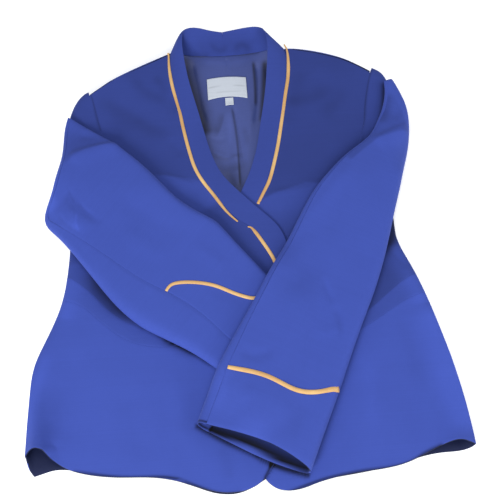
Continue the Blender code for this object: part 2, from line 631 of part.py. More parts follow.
def build_band(name, table, height):
    """Half of the stand collar with the facing band that runs on down its front."""
    across = np.linspace(0.0, 1.0, BAND_COLUMNS)
    grid = np.empty((len(table), len(across), 3))
    for i, (seam_x, seam_y, edge_x, edge_y, drop, rise) in enumerate(table):
        seam = np.array([seam_x, seam_y, height(seam_x, seam_y) - drop])
        edge = np.array([edge_x, edge_y, height(edge_x, edge_y) + rise])
        grid[i] = seam + (edge - seam) * across[:, None]
    flat = part_at_seams(grid[:, :, :2].copy(), ("left",))
    front = np.array([row[4] == 0.0 for row in table])
    grid[front, :, :2] = flat[front]
    grid[-1, :, 0] += -BACK_SEAM_GAP / 2 if name == "right" else BACK_SEAM_GAP / 2
    normals = surface_normals(grid)
    normals *= math.copysign(1.0, normals[FLAT_BAND_ROW, BAND_COLUMNS // 2, 2])
    roll = np.array([BAND_ROLL * blend(*BAND_ROLL_START, row[1]) for row in table])
    grid[front, 0, :2] -= normals[front, 0, :2] * WALL
    grid += normals * (roll[:, None] * np.sin(math.pi * across))[:, :, None]
    sheet(f"band_{name}", grid, cloth, WALL, normals[len(table) // 2, BAND_COLUMNS // 2])


def build_ribbon(name, centres, normals):
    """A narrow flat trim along a line of points, lying just off the cloth there."""
    along = np.gradient(centres, axis=0)
    side = np.cross(normals, along)
    side /= np.linalg.norm(side, axis=1)[:, None]
    base = centres + normals * (WALL + TRIM_LIFT)
    grid = np.stack([base - side * TRIM_WIDTH / 2, base, base + side * TRIM_WIDTH / 2], axis=1)
    sheet(name, grid, trim, TRIM_THICKNESS, normals[len(normals) // 2])


def build_neck_piping(name, table, height, rows, side):
    """Trim on a front along the seam of the facing band; side is +1 where the front lies at +X."""
    seam = Curve([(row[0], row[1]) for row in table], even=True)
    last = len(table) - 1
    line = np.array([seam.at(row / last) for row in rows])
    along = np.gradient(line, axis=0)
    across = np.stack([along[:, 1], -along[:, 0]], axis=1)
    across *= side / np.linalg.norm(across, axis=1)[:, None]
    line += across * (TRIM_WIDTH / 2 + SEAM_GAP)
    centres = []
    normals = []
    for x, y in line:
        centres.append((x, y, height(x, y)))
        slope_x = (height(x + SLOPE_STEP * side, y) - height(x, y)) / (SLOPE_STEP * side)
        slope_y = (height(x, y + SLOPE_STEP) - height(x, y - SLOPE_STEP)) / (2 * SLOPE_STEP)
        normal = np.array([-slope_x, -slope_y, 1.0])
        normals.append(normal / np.linalg.norm(normal))
    build_ribbon(name, np.array(centres), np.array(normals))


def build_head(name, table, outline, armhole_rows):
    """A sleeve head: from the armhole over its outer fold and back beneath, read at the bodice's rows."""
    head = np.array(table)[::-1]
    fold_x = Profile(head[:, (0, 1)])
    fold_y = Profile(head[:, (0, 2)])
    armhole = np.array([(outline.at(y), y) for y in armhole_rows])
    last = len(armhole_rows) - 1
    first = int(np.searchsorted(armhole_rows, head[0, 0]))
    rows = [*range(first, last), *(last - below for below in HEAD_TOP_ROWS)]
    grid = np.empty((len(rows), 2 * len(HEAD_COLUMNS) - 1, 3))
    for i, row in enumerate(rows):
        seam = np.array([np.interp(row, range(last + 1), column) for column in armhole.T])
        fold = np.array([fold_x.at(seam[1]), fold_y.at(seam[1])])
        width = np.linalg.norm(fold - seam)
        for j, t in enumerate((*HEAD_COLUMNS, *HEAD_COLUMNS[-2::-1])):
            upper = j < len(HEAD_COLUMNS)
            reach = SEAM_GAP + (width - SEAM_GAP) * t
            x, y = seam + (fold - seam) / width * reach
            top = plateau(x, y)
            middle = (top + HEAD_UNDER_HEIGHT) / 2
            end = top if upper else HEAD_UNDER_HEIGHT
            grid[i, j] = (x, y, middle + (end - middle) * rounding(width - reach, HEAD_ROUND))
    sheet(f"sleeve_{name}_head", grid, cloth, WALL, surface_out(grid))


def surface_out(grid):
    """Direction from a tube's inside to the point of its middle row that sheet() tests."""
    row = grid[len(grid) // 2]
    return row[len(row) // 2] - row[[0, -1]].mean(axis=0)


class Sleeve:
    """A laid sleeve: two layers between two folds, resting on what lies under it."""

    def __init__(self, name, table, cuff_seam, spread, support, fold_drop):
        self.name = name
        self.table = Curve(table, even=True)
        self.last = len(table) - 1
        self.cuff = Profile(cuff_seam)
        self.spread = spread
        self.support = support
        self.fold_drop = fold_drop

    def plan(self, row, t):
        """Return the plan point and the width and inner height of a row of the table."""
        ax, ay, bx, by, seam, inner = self.table.at(row / self.last)
        width = math.hypot(bx - ax, by - ay)
        return ax + (bx - ax) * t, ay + (by - ay) * t, width, inner, seam

    def point(self, row, t, face):
        """Return a point of the inner face: face is +1 on the upper layer and -1 on the lower."""
        x, y, width, inner, seam = self.plan(row, t)
        base = self.support(x, y)
        half = (inner - self.fold_drop(x, y)) / 2
        start = rounding(row * FIRST_ROW_LENGTH, FOLD_ROUND)
        edge = rounding(min(t, 1.0 - t) * width, SLEEVE_ROUND)
        gap = FOLD_GAP if t == 0.0 else SEAM_GAP
        return np.array([x, y, base + half + face * (half * edge * start + gap / 2)])

    def normal(self, row, t):
        """Return the upper layer's outward normal."""
        here = self.point(row, t, 1)
        step_t = math.copysign(NORMAL_STEPS[0], 0.5 - t)
        along = self.point(row + NORMAL_STEPS[1], t, 1) - here
        across = (self.point(row, t + step_t, 1) - here) / math.copysign(1.0, step_t)
        normal = np.cross(along, across)
        return normal / np.linalg.norm(normal) * math.copysign(1.0, normal[2])

    def seam(self, row):
        """Return the fraction of the width at which the long seam runs."""
        return self.plan(row, 0.0)[4]

    def build(self):
        """Make the upper sleeve, the cuff's upper part, the under sleeve and the cuff piping."""
        meet = self.cuff.values[-1]
        whole = [row for row in range(1, self.last + 1) if abs(row - meet) > ROW_CLEARANCE]
        rows = sorted([*START_ROWS, meet, *whole])
        upper = [row for row in rows if row <= meet]
        lower = [row for row in rows if row >= meet]
        across = SLEEVE_COLUMNS
        flat = [[self.under_point(row, t) for t in UNDER_COLUMNS] for row in rows]
        turned = [[self.point(row, t, 1) for t in self.turned(row)] for row in rows]
        under = np.concatenate([np.array(flat), np.array(turned)], axis=1)
        sheet(f"sleeve_{self.name}_under", under, cloth, WALL, DOWN)
        top = [[self.upper_point(row / meet, t) for t in across] for row in upper]
        sheet(f"sleeve_{self.name}_top", np.array(top), cloth, WALL, UP)
        cuff = [[self.cuff_point((row - meet) / (self.last - meet), t) for t in across] for row in lower]
        sheet(f"cuff_{self.name}_top", np.array(cuff), cloth, WALL, UP)
        seam_t = self.seam(meet) - SEAM_SHARE
        line = [(self.cuff.at(t * seam_t), t * seam_t) for t in across[1:]]
        centres = np.array([self.point(row, t, 1) for row, t in line])
        normals = np.array([self.normal(row, t) for row, t in line])
        build_ribbon(f"piping_cuff_{self.name}", centres, normals)

    def under_point(self, row, t):
        """A point of the lower layer, whose mouth bows out past the upper one."""
        reach = MOUTH_BOW * math.sin(math.pi * t) if row == self.last else 0.0
        return self.point(row + reach, t, -1)

    def turned(self, row):
        """Fractions at which the under sleeve runs back over the seamed fold to the long seam."""
        seam = self.seam(row) + SEAM_SHARE
        return 1.0 - (1.0 - seam) * np.array(TURN_STEPS)

    def upper_point(self, part, t):
        """A point of the upper sleeve at a part of its length from the head to the cuff seam."""
        seam_row = part * self.cuff.values[-1]
        across = t * (self.seam(seam_row) - SEAM_SHARE)
        beyond = self.cuff.at(across) - self.cuff.values[-1]
        row = seam_row + beyond * part ** self.spread - ROW_SHARE * part
        return self.point(row, across, 1)

    def cuff_point(self, part, t):
        """A point of the cuff at a part of its length from its seam to the mouth."""
        meet = self.cuff.values[-1]
        across = t * (self.seam(meet + part * (self.last - meet)) - SEAM_SHARE)
        start = self.cuff.at(across) + ROW_SHARE
        end = self.last - CUFF_SETBACK * math.sin(math.pi * t)
        return self.point(start + (end - start) * part, across, 1)


def left_support(x, y):
    """What the left sleeve lies on: the fronts, the facing's trim, and the right sleeve."""
    base = rest_height(x, y)
    trim_x, trim_y = RIGHT_BAND[1][:2]
    near = math.exp(-((x - trim_x) / TRIM_SWELL[0]) ** 2 - ((y - trim_y) / TRIM_SWELL[1]) ** 2)
    base += (TRIM_LIFT + TRIM_THICKNESS) * near
    cover = 1.0 - blend(*CROSSING_REACH, polygon_distance(x, y, right_outline))
    if cover > 0.0:
        base += cover * (right_inner(x, y) + 2 * WALL + TRIM_LIFT + TRIM_THICKNESS + CROSSING_GAP)
    return base


def right_inner(x, y):
    """Inner height of the right sleeve at a point, from the nearest row of its table."""
    best = None
    for row in np.linspace(0.0, right_sleeve.last, HEIGHT_SAMPLES):
        ax, ay, bx, by, seam, inner = right_sleeve.table.at(row / right_sleeve.last)
        along = np.array([bx - ax, by - ay])
        t = np.clip(np.dot((x - ax, y - ay), along) / np.dot(along, along), 0.0, 1.0)
        distance = math.hypot(x - ax - along[0] * t, y - ay - along[1] * t)
        if best is None or distance < best[0]:
            best = (distance, inner)
    return best[1]


def arm_fold_drop(x, y):
    """How much lower the right sleeve lies above the fold at its upper arm."""
    (ax, ay), (bx, by) = ARM_FOLD
    length = math.hypot(bx - ax, by - ay)
    above = ((bx - ax) * (y - ay) - (by - ay) * (x - ax)) / length
    return ARM_FOLD_HEIGHT * blend(*ARM_FOLD_SOFTNESS, above) * (1.0 - blend(*ARM_FOLD_END, x))


def no_drop(x, y):
    """The left sleeve has no such fold."""
    return 0.0


def lining_height(x, y):
    """Inner face of the lining with its lengthwise folds, rising to the collar seam."""
    height = LINING_HEIGHT
    low, high = LINING[0][1], LINING[-1][1]
    down = min(max((high - y) / (high - low), 0.0), 1.0)
    at_collar = blend(high - COLLAR_REACH, high, y)
    loose = blend(*LABEL_REACH, abs(y - LABEL_CENTRE[1])) * (1.0 - at_collar)
    for top_x, low_x, half_width, rise in LINING_FOLDS:
        centre = top_x + (low_x - top_x) * down
        height += rise * loose * math.exp(-((x - centre) / half_width) ** 2)
    return height + at_collar * (LINING_NECK_RISE + LINING_SIDE_RISE * blend(*LINING_SIDES, abs(x)))


def build_lining():
    """The back lining where the open neck shows it, with its label and size tab."""
    rows = Curve([(row[1], row[0], row[2], row[3]) for row in LINING], even=True)
    across = np.linspace(0.0, 1.0, LINING_COLUMNS)
    grid = []
    for fraction in np.linspace(0.0, 1.0, LINING_ROWS):
        left_y, left_x, right_x, right_y = rows.at(fraction)
        line = [(left_x + (right_x - left_x) * u, left_y + (right_y - left_y) * u) for u in across]
        grid.append([(x, y, lining_height(x, y)) for x, y in line])
    sheet("lining_back", np.array(grid), lining, WALL, UP)
    build_tag("label", LABEL_CENTRE, LABEL_SIZE, LABEL_COUNTS)
    build_tag("size_tab", TAB_CENTRE, TAB_SIZE, TAB_COUNTS)


def build_tag(name, centre, size, counts):
    """A small woven tag on the lining."""
    lift = WALL + TAG_LIFT
    xs = centre[0] + size[0] * np.linspace(-0.5, 0.5, counts[0])
    ys = centre[1] + size[1] * np.linspace(-0.5, 0.5, counts[1])
    grid = np.array([[(x, y, lining_height(x, y) + lift) for x in xs] for y in ys])
    sheet(name, grid, white, LABEL_THICKNESS, UP)


for item in list(bpy.data.objects):
    bpy.data.objects.remove(item, do_unlink=True)

collection = bpy.data.collections.new("Uniform jacket")
bpy.context.scene.collection.children.link(collection)
garment = bpy.data.objects.new("garment", None)
collection.objects.link(garment)

cloth = material("Blue suiting", CLOTH_BLUE, 0.82, 0.25)
lining = material("Satin lining", LINING_BLUE, 0.42)
trim = material("Gold piping", GOLD, 0.45)
white = material("Woven label", LABEL_WHITE, 0.60)

right_neck = neck_edge(RIGHT_FRONT_EDGE, RIGHT_BAND, RIGHT_SEAM_ROWS)
left_neck = neck_edge(LEFT_FRONT_EDGE, LEFT_BAND, LEFT_SEAM_ROWS)
build_back()
build_front("right", (RIGHT_HEM, RIGHT_WAIST_LOW, RIGHT_WAIST_TOP, RIGHT_SHOULDER, RIGHT_FRONT_EDGE),
            right_side, right_neck, RIGHT_SEAM_ROWS + 1, right_front_height)
build_front("left", (LEFT_HEM, LEFT_WAIST_LOW, LEFT_WAIST_TOP, LEFT_SHOULDER, LEFT_FRONT_EDGE),
            left_side, left_neck, LEFT_SEAM_ROWS + 1, front_height)
build_band("right", RIGHT_BAND, right_front_height)
build_band("left", LEFT_BAND, front_height)
build_neck_piping("piping_neck_right_upper", RIGHT_BAND, right_front_height, RIGHT_UPPER_PIPING, -1)
build_neck_piping("piping_neck_right_lower", RIGHT_BAND, right_front_height, RIGHT_LOWER_PIPING, -1)
build_neck_piping("piping_neck_left", LEFT_BAND, front_height, LEFT_PIPING, 1)
build_lining()

right_rows = np.linspace(RIGHT_WAIST_TOP[0][1], right_side.knots[-1], RIGHT_SEAM_ROWS + 2)
left_rows = np.linspace(LEFT_WAIST_TOP[-1][1], left_side.knots[-1], LEFT_SEAM_ROWS + 2)
build_head("right", RIGHT_HEAD, right_side, right_rows)
build_head("left", LEFT_HEAD, left_side, left_rows)

right_sleeve = Sleeve("right", RIGHT_SLEEVE, RIGHT_CUFF_SEAM, RIGHT_SPREAD, rest_height, arm_fold_drop)
outline_rows = np.linspace(0, right_sleeve.last, OUTLINE_SAMPLES)
plain_fold = [right_sleeve.plan(row, 0.0)[:2] for row in outline_rows]
seamed_fold = [right_sleeve.plan(row, 1.0)[:2] for row in outline_rows[::-1]]
right_outline = np.array(plain_fold + seamed_fold)
right_sleeve.build()
left_sleeve = Sleeve("left", LEFT_SLEEVE, LEFT_CUFF_SEAM, LEFT_SPREAD, left_support, no_drop)
left_sleeve.build()

bpy.context.view_layer.update()
depsgraph = bpy.context.evaluated_depsgraph_get()
corners = np.array([corner for item in collection.objects if item.type == "MESH"
                    for corner in item.evaluated_get(depsgraph).bound_box])
middle = (corners.min(axis=0) + corners.max(axis=0)) / 2
garment.location = (-middle[0], -middle[1], 0.0)
bpy.context.view_layer.update()
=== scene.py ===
"""Dresses the laid uniform jacket: suiting panels, satin lining, gold piping and a bare woven label.

Each panel starts as a copy of its solid in the frame. The copy is refined, its creases are moved in
along lines given on the plan, and it is given its cloth. The frame is in metres, with +Y from
the hem to the collar, +X to the wearer's left and +Z up from the table. Lines on the plan are given
in millimetres, because that is how a garment is measured.
"""

import logging
import math
from dataclasses import dataclass, replace
from enum import Enum
from typing import Callable, ClassVar, Optional

import bmesh
import bpy
import numpy as np
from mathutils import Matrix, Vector
from mathutils.bvhtree import BVHTree


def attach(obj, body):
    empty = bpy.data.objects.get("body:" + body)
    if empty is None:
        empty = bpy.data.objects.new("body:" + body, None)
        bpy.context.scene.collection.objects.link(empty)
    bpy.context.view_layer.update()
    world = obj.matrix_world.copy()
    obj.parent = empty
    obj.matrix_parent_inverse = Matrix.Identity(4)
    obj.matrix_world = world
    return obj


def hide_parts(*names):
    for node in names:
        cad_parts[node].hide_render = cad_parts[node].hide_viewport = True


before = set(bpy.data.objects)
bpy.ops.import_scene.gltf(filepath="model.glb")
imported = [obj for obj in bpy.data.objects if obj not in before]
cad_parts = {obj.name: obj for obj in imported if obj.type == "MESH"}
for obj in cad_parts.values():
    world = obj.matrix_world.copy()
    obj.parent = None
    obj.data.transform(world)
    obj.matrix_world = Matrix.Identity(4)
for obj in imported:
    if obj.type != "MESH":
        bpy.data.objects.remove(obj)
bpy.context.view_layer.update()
LOG = logging.getLogger("jacket")

MM = 0.001
SAME_CORNER = 0.00001
UP = Vector((0.0, 0.0, 1.0))

Point = tuple[float, float]
Pair = tuple[float, float]
Colour = tuple[float, float, float]
Hold = Callable[[np.ndarray], np.ndarray]


def smooth_step(low: float, high: float, value: np.ndarray) -> np.ndarray:
    """Rise smoothly from 0 at low to 1 at high.

    Args:
        low: Where the rise starts.
        high: Where it ends.
        value: The values to read it at.

    Returns:
        The rise at each value.
    """
    t = np.clip((value - low) / (high - low), 0.0, 1.0)
    return t * t * (3.0 - 2.0 * t)


def rounded_line(points: np.ndarray, steps: int = 8) -> np.ndarray:
    """Run a smooth line through a few points.

    Args:
        points: The points, one a row.
        steps: How many pieces each stretch is cut into.

    Returns:
        The points of the smooth line.
    """
    padded = np.vstack([2 * points[0] - points[1], points, 2 * points[-1] - points[-2]])
    out = []
    for a, b, c, d in zip(padded[:-3], padded[1:-2], padded[2:-1], padded[3:]):
        for t in np.arange(steps) / steps:
            out.append(0.5 * (2 * b + (c - a) * t + (2 * a - 5 * b + 4 * c - d) * t ** 2
                              + (3 * b - a - 3 * c + d) * t ** 3))
    out.append(points[-1])
    return np.array(out)


def distances(line: np.ndarray) -> np.ndarray:
    """Return how far along a line each of its points lies."""
    return np.concatenate([[0.0], np.cumsum(np.linalg.norm(np.diff(line, axis=0), axis=1))])


def solid(node: str) -> bpy.types.Mesh:
    """Return the mesh of a solid in the frame."""
    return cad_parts[node].data


def placed(name: str, data: bpy.types.ID) -> bpy.types.Object:
    """Put a new object into the scene.

    Args:
        name: Its name.
        data: Its mesh, lamp or camera.

    Returns:
        The object.
    """
    item = bpy.data.objects.new(name, data)
    bpy.context.scene.collection.objects.link(item)
    return item


def points_of(mesh: bpy.types.Mesh) -> np.ndarray:
    """Read a mesh's points.

    Args:
        mesh: The mesh.

    Returns:
        Its points in metres, one a row.
    """
    flat = np.empty(len(mesh.vertices) * 3)
    mesh.vertices.foreach_get("co", flat)
    return flat.reshape(-1, 3)


def move_points(mesh: bpy.types.Mesh, points: np.ndarray) -> None:
    """Give a mesh's points new places."""
    mesh.vertices.foreach_set("co", points.ravel())
    mesh.update()


def note_tone_and_painted_light(mesh: bpy.types.Mesh, tone: np.ndarray) -> None:
    """Note the tone at each point, which the finishes read: painted light and shade, with the nap's tone and
    woven marks.
    """
    mesh.attributes.new("nap", "FLOAT", "POINT").data.foreach_set("value", tone)


def surface_of(meshes: list[bpy.types.Mesh]) -> BVHTree:
    """Make one surface of some meshes, to measure from or to lay others on.

    Args:
        meshes: The meshes.

    Returns:
        The surface.
    """
    builder = bmesh.new()
    for mesh in meshes:
        builder.from_mesh(mesh)
    tree = BVHTree.FromBMesh(builder)
    builder.free()
    return tree


def merged_copy(nodes: tuple[str, ...]) -> bmesh.types.BMesh:
    """Copy solids into one mesh whose loose triangles are joined at their corners.

    Args:
        nodes: The solids' names.

    Returns:
        The mesh, open for changes.
    """
    builder = bmesh.new()
    for node in nodes:
        builder.from_mesh(solid(node))
    bmesh.ops.remove_doubles(builder, verts=builder.verts, dist=SAME_CORNER)
    return builder


def join_quads(builder: bmesh.types.BMesh, bend: float, skew: float) -> None:
    """Join pairs of triangles into quads, up to a bend between them and a skew, in degrees."""
    bmesh.ops.join_triangles(builder, faces=builder.faces, angle_face_threshold=math.radians(bend),
                             angle_shape_threshold=math.radians(skew))


@dataclass(frozen=True)
class Crease:
    """A soft ridge, trough or patch of shade along a line on the plan.

    Attributes:
        path: Points of the line, in millimetres.
        lift: How far it lifts the cloth, in millimetres, or how much it changes the shade.
        left: How far it reaches to the left of the line's direction, in millimetres.
        right: How far it reaches to the right, in millimetres.
        ends: The share of the length over which it fades in and out.

    REACH counts how many of its widths off the line a crease still tells.
    """

    path: tuple[Point, ...]
    lift: float
    left: float
    right: float
    ends: float = 0.30

    REACH: ClassVar[float] = 3.0

    def at(self, plan: np.ndarray) -> np.ndarray:
        """Read the crease at points of the plan.

        Args:
            plan: Points in millimetres, one a row.

        Returns:
            The lift at each point.
        """
        out = np.zeros(len(plan))
        line = rounded_line(np.array(self.path, dtype=float))
        reach = self.REACH * max(self.left, self.right)
        near = np.all((plan > line.min(axis=0) - reach) & (plan < line.max(axis=0) + reach), axis=1)
        if not near.any():
            return out
        points = plan[near]
        along = np.diff(line, axis=0)
        length = np.linalg.norm(along, axis=1)
        start = distances(line)
        best = np.full(len(points), np.inf)
        side = np.zeros(len(points))
        share = np.zeros(len(points))
        for origin, step, size, begun in zip(line[:-1], along, length, start[:-1]):
            offset = points - origin
            t = np.clip(offset @ step / size ** 2, 0.0, 1.0)
            distance = np.linalg.norm(offset - t[:, None] * step, axis=1)
            closer = distance < best
            best = np.where(closer, distance, best)
            side = np.where(closer, step[0] * offset[:, 1] - step[1] * offset[:, 0], side)
            share = np.where(closer, (begun + t * size) / start[-1], share)
        width = np.where(side > 0.0, self.left, self.right)
        fade = smooth_step(0.0, self.ends, share) * smooth_step(0.0, self.ends, 1.0 - share)
        out[near] = self.lift * fade * np.exp(-(best / width) ** 2)
        return out


@dataclass(frozen=True)
class Nudge:
    """A small move of the cloth across the plan round one place, in millimetres."""

    place: Point
    way: Point
    reach: float

    def at(self, plan: np.ndarray) -> np.ndarray:
        """Return how far the cloth moves in x and y at points of the plan."""
        away = np.linalg.norm(plan - self.place, axis=1) / self.reach
        return np.exp(-away ** 2)[:, None] * self.way


@dataclass(frozen=True)
class Drape:
    """How one part of the jacket lies.

    Attributes:
        creases: The folds listed for it.
        shades: Patches of painted light and shade, and the label's woven marks, with lift as the change of
            tone.
        tone: The tone away from those places; below 1 it paints a panel darker, partly for its nap and
            partly as painted shade.
        ripple: The height of the faint unevenness all over, in millimetres.
        nudges: Moves across the plan.

    WAVES holds, for each wave of the unevenness, its turns across and up the plan in radians a
    millimetre, its share of the height and where it starts.
    """

    creases: tuple[Crease, ...] = ()
    shades: tuple[Crease, ...] = ()
    tone: float = 1.0
    ripple: float = 0.25
    nudges: tuple[Nudge, ...] = ()

    WAVES: ClassVar[tuple[tuple[float, float, float, float], ...]] = (
        (0.075, 0.031, 0.30, 0.4), (-0.043, 0.082, 0.26, 2.1), (0.118, -0.067, 0.16, 4.0),
        (0.024, 0.137, 0.14, 5.2), (-0.151, -0.058, 0.14, 1.2))

    def lift(self, plan: np.ndarray) -> np.ndarray:
        """Return how far the cloth is lifted at points of the plan, in metres."""
        total = sum((crease.at(plan) for crease in self.creases), np.zeros(len(plan)))
        for across, up, share, start in self.WAVES:
            total += self.ripple * share * np.sin(plan[:, 0] * across + plan[:, 1] * up + start)
        return total * MM

    def nap(self, plan: np.ndarray) -> np.ndarray:
        """Return the tone at points of the plan, its painted light and shade among it, with 1 as the cloth's
        own colour.
        """
        return sum((shade.at(plan) for shade in self.shades), np.full(len(plan), self.tone))


# Finishes


class NodeSheet:
    """Adds shader nodes to a tree and joins them.

    MIX_INPUTS and MIX_RESULT are where a colour Mix node has its factor, its two colours and its result.
    """

    MIX_INPUTS = (0, 6, 7)
    MIX_RESULT = 2

    def __init__(self, tree: bpy.types.NodeTree) -> None:
        """Start with an empty tree."""
        self.tree = tree
        tree.nodes.clear()

    def feed(self, socket: bpy.types.NodeSocket, value: object) -> None:
        """Give an input its value.

        Args:
            socket: The input.
            value: The output to join to it, or the number or colour to set it to.
        """
        if isinstance(value, bpy.types.NodeSocket):
            self.tree.links.new(value, socket)
        else:
            socket.default_value = value

    def add(self, kind: str, inputs: Optional[dict[str, object]] = None,
            **settings: object) -> bpy.types.Node:
        """Add a node.

        Args:
            kind: Its type.
            inputs: What its inputs get, each an output, a number or a colour.
            settings: Its properties.

        Returns:
            The node.
        """
        node = self.tree.nodes.new(kind)
        for name, value in settings.items():
            setattr(node, name, value)
        for name, value in (inputs or {}).items():
            self.feed(node.inputs[name], value)
        return node

    def math(self, operation: str, *values: object) -> bpy.types.NodeSocket:
        """Add a Math node.

        Args:
            operation: Its operation.
            values: Its inputs, each an output or a number.

        Returns:
            Its output.
        """
        node = self.add("ShaderNodeMath", operation=operation)
        for socket, value in zip(node.inputs, values):
            self.feed(socket, value)
        return node.outputs[0]

    def mix(self, mode: str, factor: object, first: object, second: object) -> bpy.types.NodeSocket:
        """Add a colour Mix node.

        Args:
            mode: Its blend type.
            factor: An output or a number.
            first: An output or a colour.
            second: An output or a colour.

        Returns:
            Its colour output.
        """
        node = self.add("ShaderNodeMix", data_type="RGBA", blend_type=mode)
        for place, value in zip(self.MIX_INPUTS, (factor, first, second)):
            self.feed(node.inputs[place], value)
        return node.outputs[self.MIX_RESULT]

    def dress(self, colour: bpy.types.NodeSocket, height: bpy.types.NodeSocket, relief: Pair,
              looks: dict[str, object]) -> None:
        """End a material with its shader.

        Args:
            colour: Its colour.
            height: The height of its threads.
            relief: The strength of their bump and their depth in metres.
            looks: The shader's other values.
        """
        strength, depth = relief
        bump = self.add("ShaderNodeBump", {"Strength": strength, "Distance": depth, "Height": height})
        shader = self.add("ShaderNodeBsdfPrincipled",
                          {**looks, "Base Color": colour, "Normal": bump.outputs["Normal"]})
        self.add("ShaderNodeOutputMaterial", {"Surface": shader.outputs[0]})


def open_material(name: str) -> tuple[bpy.types.Material, NodeSheet]:
    """Make an empty material.

    Args:
        name: Its name.

    Returns:
        The material and the sheet to add its nodes to.
    """
    made = bpy.data.materials.new(name)
    made.use_nodes = True
    return made, NodeSheet(made.node_tree)


class PatternGroups:
    """The shader node groups that several of the cloths share.

    NAP holds the name, the scale and the detail of each of the nap's patterns.
    """

    NAP = (("Broad", 14.0, 2.0), ("Small", 130.0, 3.0), ("Fibres", 1900.0, 2.0))

    def __init__(self) -> None:
        """Build each group once."""
        self.threads = self.build_threads()
        self.nap = self.build_nap()

    @staticmethod
    def open_group(name: str, numbers: tuple[str, ...],
                   outputs: tuple[str, ...]) -> tuple[NodeSheet, bpy.types.Node, bpy.types.Node]:
        """Start a node group that takes a place and some numbers.

        Args:
            name: The group's name.
            numbers: The names of the numbers it takes.
            outputs: The names of its values.

        Returns:
            The sheet to add nodes to, and the group's input and output nodes.
        """
        tree = bpy.data.node_groups.new(name, "ShaderNodeTree")
        tree.interface.new_socket("Place", in_out="INPUT", socket_type="NodeSocketVector")
        for way, labels in (("INPUT", numbers), ("OUTPUT", outputs)):
            for label in labels:
                tree.interface.new_socket(label, in_out=way, socket_type="NodeSocketFloat")
        nodes = NodeSheet(tree)
        return nodes, nodes.add("NodeGroupInput"), nodes.add("NodeGroupOutput")

    def build_threads(self) -> bpy.types.NodeTree:
        """Warp and weft threads that pass over and under one another.

        Returns:
            A group that takes a place, the threads' pitch and how far each weft thread floats, and
            gives the height of the threads and a tone that differs from thread to thread.
        """
        nodes, given, result = self.open_group("woven threads", ("Pitch", "Float"), ("Height", "Tone"))
        place, pitch, floats = (given.outputs[name] for name in ("Place", "Pitch", "Float"))
        x, y, _ = nodes.add("ShaderNodeSeparateXYZ", {"Vector": place}).outputs
        turn = nodes.math("DIVIDE", math.pi, pitch)
        warp = nodes.math("SINE", nodes.math("MULTIPLY", nodes.math("DIVIDE", x, floats), turn))
        weft = nodes.math("SINE", nodes.math("MULTIPLY", y, turn))
        over = nodes.math("MULTIPLY_ADD", nodes.math("MULTIPLY", warp, weft), 0.5, 0.5)
        top = nodes.math("MULTIPLY", nodes.math("ABSOLUTE", weft), over)
        under = nodes.math("MULTIPLY", nodes.math("ABSOLUTE", warp), nodes.math("SUBTRACT", 1.0, over))
        row = nodes.math("FLOOR", nodes.math("DIVIDE", y, pitch))
        noise = nodes.add("ShaderNodeTexWhiteNoise", noise_dimensions="1D")
        nodes.feed(noise.inputs["W"], row)
        nodes.feed(result.inputs["Height"], nodes.math("MAXIMUM", top, under))
        nodes.feed(result.inputs["Tone"], noise.outputs["Value"])
        return nodes.tree

    def build_nap(self) -> bpy.types.NodeTree:
        """The uneven tone and fine fibres of a soft cloth.

        Returns:
            A group that takes a place and gives a broad tone, a small one and the fibres' height.
        """
        nodes, given, result = self.open_group("nap of the cloth", (), tuple(row[0] for row in self.NAP))
        for label, scale, detail in self.NAP:
            noise = nodes.add("ShaderNodeTexNoise",
                              {"Scale": scale, "Detail": detail, "Vector": given.outputs["Place"]})
            nodes.feed(result.inputs[label], noise.outputs[0])
        return nodes.tree


